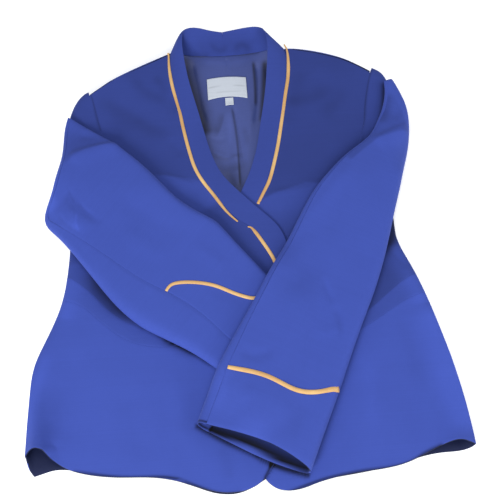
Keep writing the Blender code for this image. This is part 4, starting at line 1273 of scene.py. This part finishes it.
LINING_DRAPE = Drape(
    creases=(
        Crease(((6, 306), (6, 290), (5, 272)), -0.8, 2.0, 2.6, 0.15),
        Crease(((4, 228), (6, 200), (9, 160), (10, 120), (11, 84)), 1.5, 3.0, 9.0, 0.12),
        Crease(((11, 226), (14, 196), (18, 150), (19, 120)), -1.3, 4.0, 3.0, 0.15),
        Crease(((-46, 306), (-40, 262), (-35, 220), (-27, 190)), -1.5, 4.0, 5.0, 0.15),
        Crease(((-52, 300), (-50, 260), (-44, 220), (-38, 180)), 1.4, 5.0, 4.0, 0.2),
        Crease(((48, 298), (49, 262), (45, 222), (38, 186)), -1.7, 5.0, 4.0, 0.15),
        Crease(((56, 290), (57, 250), (50, 205)), 1.2, 4.0, 5.0),
        Crease(((34, 236), (32, 200), (28, 160)), 0.9, 5.0, 5.0),
        Crease(((-24, 222), (-22, 196), (-14, 170)), 0.9, 6.0, 5.0),
        Crease(((-26, 152), (-6, 141), (20, 138)), 0.9, 2.5, 5.0),
        Crease(((-18, 120), (2, 115), (22, 118)), 0.8, 2.5, 4.0),
        Crease(((-30, 172), (-16, 166), (0, 170)), -0.7, 4.0, 3.0),
    ),
    shades=(
        # Painted light and shade on the lining's folds, and painted shadow under the collar's edges
        Crease(((-62, 312), (-53, 270), (-42, 222), (-31, 172)), -0.84, 13.0, 10.0, 0.08),
        Crease(((60, 300), (54, 243), (47, 190)), -0.80, 6.0, 4.0, 0.10),
        Crease(((43, 300), (43, 257), (41, 218)), -0.72, 2.8, 1.8, 0.12),
        Crease(((8, 222), (11, 181), (12, 140), (11, 86)), -0.50, 1.6, 1.4, 0.08),
        Crease(((2, 214), (3, 180), (2, 150)), 0.14, 4.0, 4.0),
        Crease(((-3, 216), (-10, 189), (-20, 168)), -0.30, 2.0, 7.0),
        Crease(((-30, 148), (-5, 137), (24, 144)), -0.26, 1.5, 5.0),
        Crease(((20, 190), (26, 170), (24, 150)), -0.14, 4.0, 5.0),
        Crease(((2, 136), (6, 104), (8, 66)), -0.36, 18.0, 18.0, 0.25),
        Crease(((-34, 303), (5, 297), (42, 301)), 0.12, 4.0, 6.0, 0.2),
        Crease(((-60, 312), (0, 313), (60, 310)), -0.30, 4.0, 3.0, 0.1),
    ),
    tone=1.0, ripple=0.35)
# Two short rules and a faint band, woven into the bare label
LABEL_DRAPE = Drape(shades=(
    Crease(((-22, 255), (-14, 256), (-5, 256.6)), -0.22, 0.6, 0.6, 0.02),
    Crease(((13, 256.6), (22, 256), (30, 255)), -0.22, 0.6, 0.6, 0.02),
    Crease(((-14, 246.5), (4, 247.5), (22, 246.5)), -0.14, 1.0, 1.0, 0.05),
), ripple=0.0)
RIGHT_DRAPE = Drape(
    creases=(
        # The bend at the upper arm
        Crease(((-222, 132), (-208, 144), (-182, 153), (-161, 156), (-140, 156)), 2.6, 4.0, 15.0, 0.2),
        Crease(((-206, 176), (-184, 172), (-166, 166)), -1.2, 8.0, 7.0),
        # Creases at the elbow
        Crease(((-224, 100), (-214, 76), (-200, 55), (-168, 32)), -1.3, 5.0, 5.0),
        Crease(((-207, 73), (-197, 58), (-184, 44)), -1.0, 2.6, 2.6),
        Crease(((-234, 120), (-238, 92), (-232, 60)), 1.8, 6.0, 7.0),
        Crease(((-240, 74), (-222, 44), (-193, 22)), 1.4, 9.0, 9.0),
        Crease(((-216, 66), (-213, 46), (-211, 22)), 1.2, 4.0, 3.0),
        Crease(((-202, 8), (-195, -8), (-187, -30)), -1.0, 4.0, 4.0),
        Crease(((-232, 60), (-226, 40), (-214, 20)), -0.9, 4.0, 6.0),
        # Slack along the forearm
        Crease(((-160, 82), (-129, 52), (-90, 24), (-58, 2)), -0.9, 14.0, 12.0),
        Crease(((-150, 30), (-118, 0), (-84, -24)), 1.0, 12.0, 14.0),
        Crease(((-60, 0), (-36, -22), (-10, -44)), 0.7, 9.0, 9.0),
        Crease(((-40, -64), (-18, -76), (10, -90)), -0.6, 8.0, 8.0),
    ),
    shades=(
        # Painted shade above the bend, where the sleeve turns from the light
        Crease(((-224, 128), (-202, 147), (-171, 156), (-136, 154)), -0.17, 40.0, 2.0, 0.10),
        Crease(((-224, 150), (-200, 170), (-170, 178)), -0.06, 20.0, 12.0),
        # Painted light and shade on the elbow's folds
        Crease(((-232, 128), (-241, 84), (-246, 50)), 0.26, 7.0, 9.0),
        Crease(((-206, 54), (-207, 38), (-203, 22)), 0.22, 1.8, 1.8),
        Crease(((-224, 96), (-212, 68), (-194, 48), (-167, 31)), -0.07, 8.0, 10.0),
        Crease(((-221, 96), (-209, 70), (-192, 48)), -0.13, 1.6, 1.6),
        Crease(((-207, 76), (-197, 58), (-182, 43)), -0.13, 1.5, 1.5),
        Crease(((-236, 62), (-219, 35), (-196, 16)), -0.14, 2.0, 3.0),
        Crease(((-240, 66), (-219, 42), (-190, 22)), 0.10, 9.0, 9.0),
        Crease(((-212, 60), (-211, 44), (-208, 26)), 0.10, 2.0, 2.4),
        # Painted shade along the forearm's upper edge
        Crease(((-110, 118), (-60, 60), (-30, 32)), -0.07, 12.0, 12.0),
    ),
    ripple=0.3)
CAP_NUDGE = Nudge((222, 196), (4.0, 1.5), 42.0)
LEFT_DRAPE = Drape(
    creases=(
        # The turn from the shoulder into the arm
        Crease(((192, 136), (201, 140), (220, 148), (246, 160)), 2.4, 5.0, 16.0, 0.2),
        Crease(((206, 190), (222, 180), (236, 172)), -1.2, 9.0, 9.0),
        # Slack along the arm
        Crease(((150, 96), (136, 40), (112, -20)), -0.9, 12.0, 14.0),
        Crease(((196, 76), (182, 20), (160, -44)), 0.9, 11.0, 12.0),
        Crease(((100, 10), (86, -30), (66, -78)), 0.8, 10.0, 12.0),
        Crease(((119, -104), (121, -122), (122, -148)), -1.6, 4.0, 4.0),
        Crease(((106, -66), (111, -84), (116, -102)), -1.3, 4.0, 5.0),
        Crease(((-10, -160), (14, -172), (42, -164)), -1.1, 6.0, 7.0),
        Crease(((84, -134), (108, -140), (132, -128)), 0.7, 5.0, 6.0),
        Crease(((36, -210), (30, -240), (24, -268)), 0.8, 12.0, 12.0),
        Crease(((70, -216), (62, -250), (50, -286)), -0.7, 10.0, 10.0),
    ),
    shades=(
        # Painted shade on the cap above the bend, where it turns from the light, and in the wedge beside the
        # head
        Crease(((158, 106), (195, 137), (219, 147), (248, 156)), -0.22, 45.0, 2.0, 0.06),
        Crease(((206, 160), (216, 190), (222, 215)), -0.22, 9.0, 7.0, 0.2),
        # Painted shade along creases of the arm, and over the cuff
        Crease(((168, 112), (135, 77), (85, 19), (43, -40)), -0.07, 6.0, 8.0, 0.15),
        Crease(((119, -104), (121, -122), (122, -148)), -0.07, 3.5, 3.5),
        Crease(((-10, -162), (14, -172), (42, -164)), -0.06, 4.0, 6.0),
        Crease(((-30, -215), (12, -236), (66, -262)), -0.07, 24.0, 24.0, 0.1),
    ),
    ripple=0.3, nudges=(CAP_NUDGE,))
# The sleeve heads are painted darker by their tone, partly for their nap and partly as painted shade where
# the light falls off, with painted shade along the sleeves' edges and the armhole seams
HEAD_DRAPE = Drape(creases=(
    Crease(((-206, 232), (-196, 200), (-186, 160)), 0.9, 6.0, 7.0),
    Crease(((212, 240), (206, 206), (198, 166)), 0.9, 6.0, 7.0),
), shades=(
    Crease(((223, 240), (216, 195), (203, 147), (178, 119)), -0.40, 6.0, 4.0, 0.06),
    Crease(((-228, 205), (-200, 190), (-178, 160)), -0.12, 8.0, 8.0),
    *ARMHOLE_SEAMS,
), tone=0.62, ripple=0.2)
# Inside the left cuff's mouth painted shade darkens all but a strip of facing along the lip, which catches
# the light
MOUTH_DRAPE = Drape(shades=(
    Crease(((-50, -252), (-30, -262), (-3, -274), (28, -293), (56, -309), (68, -314)),
           -0.99, 17.0, 3.2, 0.02),
    Crease(((-63, -245), (-56, -248), (-46, -252)), -0.90, 1.6, 1.6, 0.02),
), tone=1.0, ripple=0.0, nudges=(CAP_NUDGE,))


# Parts of the jacket


@dataclass
class Body:
    """The back panel and the three pieces of each front.

    Attributes:
        suiting: The finish of the outside.
        inside: The finish of the inside, lining darkened as painted shade.

    The fronts are free to move from the first to the second height of HOLD. The back rises within
    BACK_HALF of the middle and between BACK_ENDS, over a rim of BACK_FADE and below BACK_TOP.
    """

    suiting: bpy.types.Material
    inside: bpy.types.Material

    HOLD: ClassVar[Pair] = (0.0042, 0.0085)
    BACK_HALF: ClassVar[float] = 0.20
    BACK_ENDS: ClassVar[Pair] = (-0.285, 0.27)
    BACK_FADE: ClassVar[float] = 0.03
    BACK_TOP: ClassVar[float] = 0.0030
    # The bodices and insets are painted darker: partly for their nap, as the bodices' cloth runs the other
    # way up, and partly as painted shade where the light falls off towards the collar
    TONES: ClassVar[dict[str, float]] = {
        "front_right_bodice": 0.63, "front_left_bodice": 0.56,
        "front_right_inset": 0.90, "front_left_inset": 0.82}
    BACK: ClassVar[Cut] = Cut("back_panel", (0.560, 0.640), 0.2690, (), Outside.DOWN)
    FRONTS: ClassVar[tuple[Cut, ...]] = (
        Cut("front_right_bodice", (0.285, 0.420), 0.0700, ("back_panel",), levels=3),
        Cut("front_right_inset", (0.310, 0.045), 0.0064, ("back_panel",)),
        Cut("front_right_peplum", (0.335, 0.270), 0.0567, ("back_panel",), levels=3),
        Cut("front_left_bodice", (0.250, 0.420), 0.0632, ("back_panel",), levels=3),
        Cut("front_left_inset", (0.280, 0.040), 0.0057, ("back_panel",)),
        Cut("front_left_peplum", (0.290, 0.260), 0.0498, ("back_panel",), levels=3),
    )

    def build(self) -> list[bpy.types.Object]:
        """Make the body's panels.

        Returns:
            The pieces, the back panel first.
        """
        pieces = [Panel(self.BACK, self.suiting, self.inside).build(BACK_DRAPE, self.back_hold)]
        hold = Holds.over_table(*self.HOLD)
        for cut in self.FRONTS:
            drape = replace(FRONT_DRAPE, tone=self.TONES.get(cut.node, 1.0))
            pieces.append(Panel(cut, self.suiting, self.inside).build(drape, hold))
        return pieces

    @classmethod
    def back_hold(cls, points: np.ndarray) -> np.ndarray:
        """Let the back rise off the table only away from its edges.

        Args:
            points: Points in metres, one a row.

        Returns:
            How freely each can move.
        """
        x, y, z = np.abs(points[:, 0]), points[:, 1], points[:, 2]
        inside = np.ones(len(points))
        for room in (cls.BACK_HALF - x, y - cls.BACK_ENDS[0], cls.BACK_ENDS[1] - y):
            inside = inside * smooth_step(0.0, cls.BACK_FADE, room)
        return inside * (z < cls.BACK_TOP)


@dataclass
class Neck:
    """The collar with its facing bands, the lining in the open neck, and the label.

    Attributes:
        suiting: The finish of the collar.
        lining: The finish of the lining.
        weave: The finish of the label and its tab.
        thread: The finish of the label's stitches.

    The collar is free to move from the first to the second height of HOLD.
    """

    suiting: bpy.types.Material
    lining: bpy.types.Material
    weave: bpy.types.Material
    thread: bpy.types.Material

    HOLD: ClassVar[Pair] = (0.004, 0.008)
    COLLAR: ClassVar[Cut] = Cut("band_left", (0.110, 0.800), 0.0275,
                                ("front_left_bodice", "front_right_bodice"), Outside.BOTH, levels=3)
    LINING: ClassVar[Cut] = Cut("lining_back", (0.145, 0.280), 0.0309, ("back_panel",),
                                Outside.BOTH, "lining", 3)
    LABEL: ClassVar[Cut] = Cut("label", (0.055, 0.036), 0.00197, ("lining_back",), Outside.BOTH, "label", 4)
    TAB: ClassVar[Cut] = Cut("size_tab", (0.0115, 0.0145), 0.00016, ("lining_back",),
                             Outside.BOTH, "label", 3)

    def build(self) -> list[bpy.types.Object]:
        """Make the neck's pieces.

        Returns:
            The pieces, the collar first.
        """
        hold = Holds.over_table(*self.HOLD)
        return [Panel(self.COLLAR, self.suiting, self.suiting).build(COLLAR_DRAPE, hold, ("band_right",)),
                Lining(self.LINING, self.lining, self.lining).build(LINING_DRAPE, Holds.free),
                Label(self.LABEL, self.weave, self.weave).build(LABEL_DRAPE, Holds.free),
                SizeTab(self.TAB, self.weave, self.weave).build(Drape(ripple=0.0), Holds.free),
                LabelStitches(self.thread).build()]


class Lining(Panel):
    """The lining in the open neck.

    TUCK is how far its top moves up the plan, from nothing at TUCK_FROM to all of it at TUCK_TO.
    """

    TUCK = 0.0017
    TUCK_FROM = 0.299
    TUCK_TO = 0.309

    def shape(self, builder: bmesh.types.BMesh) -> None:
        """Tuck the lining's top edge in under the collar's seam."""
        for vert in builder.verts:
            vert.co.y += self.TUCK * float(smooth_step(self.TUCK_FROM, self.TUCK_TO, np.array(vert.co.y)))


class Tag(Panel):
    """A thin woven tag."""

    WALL = 0.0008
    RIM_BEVEL = 0.00015


class Label(Tag):
    """The bare label, which bows up between its corners where it bridges the pleat.

    BOW is how far its upper edge bows up the plan, and LOWER_BOW how much further its lower edge.
    """

    BOW = 0.0027
    LOWER_BOW = 0.0016

    @classmethod
    def bowed(cls, places: np.ndarray, low: np.ndarray, high: np.ndarray) -> np.ndarray:
        """Bow places on the label.

        Args:
            places: Points in metres, one a row.
            low: The label's lowest x and y before it is bowed.
            high: Its highest x and y.

        Returns:
            How far each point moves up the plan.
        """
        across = 2.0 * (places[:, 0] - low[0]) / (high[0] - low[0]) - 1.0
        down = (high[1] - places[:, 1]) / (high[1] - low[1])
        return (cls.BOW + cls.LOWER_BOW * down) * (1.0 - across ** 2)

    def refine(self, piece: bpy.types.Object) -> None:
        """Round the label as other panels are and bow it."""
        super().refine(piece)
        points = points_of(piece.data)
        points[:, 1] += self.bowed(points, points.min(axis=0), points.max(axis=0))
        move_points(piece.data, points)


class SizeTab(Tag):
    """The small bare tab that hangs from the bowed label, moved up by RISE."""

    RISE = 0.0024

    def shape(self, builder: bmesh.types.BMesh) -> None:
        """Move the tab up to the label's bowed edge."""
        for vert in builder.verts:
            vert.co.y += self.RISE


@dataclass
class LabelStitches:
    """The small stitches that hold the label down along its edges.

    Attributes:
        finish: The thread's finish.
        inset: How far they lie inside the label's edge, in millimetres.
        pitch: The distance between them, in millimetres.
        half: Half the length, width and height of one, in metres.
    """

    finish: bpy.types.Material
    inset: float = 1.2
    pitch: float = 2.9
    half: tuple[float, float, float] = (0.00085, 0.00020, 0.00022)

    def build(self) -> bpy.types.Object:
        """Make one stitch and set copies of it round the label.

        Returns:
            The stitches as one piece.
        """
        bpy.ops.object.select_all(action="DESELECT")
        bpy.ops.mesh.primitive_uv_sphere_add(segments=8, ring_count=5, radius=1.0)
        piece = bpy.context.object
        mesh = piece.data
        piece.name = mesh.name = "label_stitches"
        shape = points_of(mesh) * self.half
        faces = [tuple(face.vertices) for face in mesh.polygons]
        height = max(vert.co.z for vert in solid("label").vertices)
        builder = bmesh.new()
        for x, y, turn in self.places():
            c, s = math.cos(turn), math.sin(turn)
            verts = [builder.verts.new((x * MM + px * c - py * s, y * MM + px * s + py * c, height + pz))
                     for px, py, pz in shape]
            for face in faces:
                builder.faces.new([verts[k] for k in face])
        builder.to_mesh(mesh)
        builder.free()
        mesh.materials.append(self.finish)
        note_tone_and_painted_light(mesh, np.ones(len(mesh.vertices)))
        mesh.shade_smooth()
        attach(piece, "root")
        return piece

    def places(self) -> list[tuple[float, float, float]]:
        """Set the stitches out along the label's bowed top and sides.

        Returns:
            Each stitch's place on the plan, in millimetres, and its turn.
        """
        corners = points_of(solid("label"))[:, :2]
        low, high = corners.min(axis=0), corners.max(axis=0)
        (left, bottom), (right, top) = low / MM + self.inset, high / MM - self.inset
        found = [(x, top, 0.0) for x in np.arange(left + self.pitch / 2, right, self.pitch)]
        for x in (left, right):
            found += [(x, y, math.pi / 2) for y in np.arange(bottom + self.pitch / 2, top, self.pitch)]
        rise = Label.bowed(np.array(found) * MM, low, high) / MM
        return [(x, y + up, turn) for (x, y, turn), up in zip(found, rise)]


@dataclass
class LaidSleeve:
    """A sleeve laid over the front: its upper and lower layer, its cuff and its head.

    Attributes:
        side: The wearer's side.
        drape: How its upper layer lies.
        cuts: Its panels.
        suiting: The finish of its outside, turned to its grain.
        head: The finish of its head's outside.
        inside: The finish of its inside, lining darkened as painted shade.
        faced: How the lower layer lies where the cuff's facing shows in its mouth, with painted shade inside
            the mouth.

    The cloth is free to move from the first to the second height of HOLD over the layer below.
    """

    side: str
    drape: Drape
    cuts: tuple[Cut, ...]
    suiting: bpy.types.Material
    head: bpy.types.Material
    inside: bpy.types.Material
    faced: Optional[Drape] = None

    HOLD: ClassVar[Pair] = (0.0030, 0.0085)

    def build(self) -> list[bpy.types.Object]:
        """Make the sleeve's panels.

        Returns:
            The pieces.
        """
        over_under = Holds.over_layer(f"sleeve_{self.side}_under", *self.HOLD)
        over_head = Holds.over_layer(f"sleeve_{self.side}_head", *self.HOLD)
        pieces = []
        for cut in self.cuts:
            if cut.node.endswith("head"):
                piece = Panel(cut, self.head, self.inside).build(HEAD_DRAPE, over_head)
            elif self.faced and cut.node.endswith("under"):
                piece = Panel(cut, self.suiting, self.suiting).build(self.faced, over_under)
            else:
                piece = Panel(cut, self.suiting, self.inside).build(self.drape, over_under)
            pieces.append(piece)
        return pieces


RIGHT_CUTS = (
    Cut("sleeve_right_under", (0.200, 0.480), 0.0795, ("front_right_bodice", "front_right_peplum"),
        Outside.DOWN),
    Cut("sleeve_right_top", (0.140, 0.340), 0.0382, ("sleeve_right_under",), levels=3),
    Cut("cuff_right_top", (0.100, 0.160), 0.0079, ("sleeve_right_under",)),
    Cut("sleeve_right_head", (0.090, 0.140), 0.0101, ("back_panel",), Outside.LARGER),
)
LEFT_CUTS = (
    Cut("sleeve_left_under", (0.180, 0.600), 0.0726, ("front_left_bodice", "sleeve_right_top"), Outside.DOWN,
        levels=3),
    Cut("sleeve_left_top", (0.140, 0.480), 0.0482, ("sleeve_left_under",), levels=3),
    Cut("cuff_left_top", (0.135, 0.110), 0.0123, ("sleeve_left_under",)),
    Cut("sleeve_left_head", (0.100, 0.150), 0.0108, ("back_panel",), Outside.LARGER),
)
PIPING_CUTS = (
    PipingCut("piping_neck_right_upper", 0.0048, 0.45, 0.45, 0.300, ("front_right_bodice_cloth",)),
    PipingCut("piping_neck_right_lower", 0.0050, 0.40, 0.90, 0.101, ("front_right_bodice_cloth",)),
    PipingCut("piping_neck_left", 0.0050, 0.80, 0.40, 0.262, ("front_left_bodice_cloth",)),
    PipingCut("piping_cuff_right", 0.0050, 0.75, 1.0, 0.165,
              ("sleeve_right_top_cloth", "cuff_right_top_cloth")),
    PipingCut("piping_cuff_left", 0.0062, 0.85, 1.30, 0.147,
              ("sleeve_left_top_cloth", "cuff_left_top_cloth")),
)
# The directions of the warp from +Y, in degrees
RIGHT_GRAIN = 52.0
LEFT_GRAIN = -28.0
LINING_GRAIN = 4.0


@dataclass
class Studio:
    """The pale table, the soft lights and the camera at the photograph's angle.

    Attributes:
        azimuth: The camera's turn round the jacket from the hem's side, in degrees.
        elevation: Its height over the table, in degrees.
        distance: How far it stands from what it looks at, in metres.
        target: The place that it looks at.
        lens: Its focal length, in millimetres.
        sensor: The width of its picture, in millimetres.
        table: The side of the table, in metres.
        paleness: The table's tone.
        glow: The table's own faint light, which keeps the shadows pale.
        room: The strength of the room's even light.

    LAMPS holds the name, the place, the size and the power of each lamp.
    """

    azimuth: float = -4.0
    elevation: float = 62.0
    distance: float = 1.55
    target: tuple[float, float, float] = (0.01778, -0.00457, 0.0)
    lens: float = 85.0
    sensor: float = 36.0
    table: float = 8.0
    paleness: float = 0.90
    glow: float = 0.30
    room: float = 0.62

    LAMPS: ClassVar[tuple[tuple[str, tuple[float, float, float], float, float], ...]] = (
        ("window", (-0.7, -1.7, 0.95), 0.8, 44.0),
        ("overhead", (0.1, -0.2, 1.9), 1.4, 11.0),
        ("side", (1.5, -0.2, 0.7), 0.8, 7.0))

    def build(self) -> None:
        """Set the stage."""
        bpy.context.scene.view_settings.view_transform = "Standard"
        self.floor()
        self.lights()
        self.camera()

    def floor(self) -> None:
        """Lay a plain pale table under the jacket."""
        bpy.ops.object.select_all(action="DESELECT")
        bpy.ops.mesh.primitive_plane_add(size=self.table, location=(0.0, 0.0, 0.0))
        table = bpy.context.object
        table.name = "pale_table"
        finish = bpy.data.materials.new("Pale table")
        finish.use_nodes = True
        shader = finish.node_tree.nodes["Principled BSDF"]
        shader.inputs["Base Color"].default_value = (self.paleness, self.paleness, self.paleness, 1.0)
        shader.inputs["Roughness"].default_value = 0.9
        shader.inputs["Emission Color"].default_value = (1.0, 1.0, 1.0, 1.0)
        shader.inputs["Emission Strength"].default_value = self.glow
        table.data.materials.append(finish)

    def lights(self) -> None:
        """Hang the soft lights."""
        world = bpy.data.worlds.new("Soft room")
        world.use_nodes = True
        air = world.node_tree.nodes["Background"].inputs
        air["Color"].default_value = (0.95, 0.97, 1.0, 1.0)
        air["Strength"].default_value = self.room
        bpy.context.scene.world = world
        for name, place, size, power in self.LAMPS:
            lamp = bpy.data.lights.new(name, "AREA")
            lamp.size = size
            lamp.energy = power
            item = placed(name, lamp)
            item.location = place
            item.rotation_euler = (-Vector(place)).to_track_quat("-Z", "Y").to_euler()

    def camera(self) -> None:
        """Stand the camera where the photograph was taken."""
        turn, rise = math.radians(self.azimuth), math.radians(self.elevation)
        back = Vector((math.sin(turn) * math.cos(rise), -math.cos(turn) * math.cos(rise), math.sin(rise)))
        data = bpy.data.cameras.new("photograph")
        data.lens = self.lens
        data.sensor_width = self.sensor
        item = placed("photograph", data)
        item.location = Vector(self.target) + back * self.distance
        item.rotation_euler = (-back).to_track_quat("-Z", "Y").to_euler()
        bpy.context.scene.camera = item


def main() -> None:
    """Build the parts in order."""
    logging.basicConfig(level=logging.INFO, format="%(name)s %(message)s")
    groups = PatternGroups()
    upright = SUITING.material(groups, 0.0)
    inside = LINING_IN_PAINTED_SHADE.material(groups, 0.0)
    lining = LINING.material(groups, LINING_GRAIN)
    weave = LABEL_WEAVE.material(groups, 0.0)
    thread = THREAD.material(groups, 0.0)
    right_suiting = SUITING.material(groups, RIGHT_GRAIN)
    left_suiting = SUITING.material(groups, LEFT_GRAIN)
    satin = PipingSatin().material()

    body = Body(upright, inside).build()
    neck = Neck(upright, lining, weave, thread).build()
    right = LaidSleeve("right", RIGHT_DRAPE, RIGHT_CUTS, right_suiting, upright, inside).build()
    left = LaidSleeve("left", LEFT_DRAPE, LEFT_CUTS, left_suiting, upright, inside, MOUTH_DRAPE).build()
    ground = surface_of([piece.data for piece in (*body[1:], *right, *left)])
    runs = [Piping(cut, satin, ground).build() for cut in PIPING_CUTS]
    LOG.info("%d pieces", len([*body, *neck, *right, *left, *runs]))
    Studio().build()


if __name__ == "__main__":
    main()
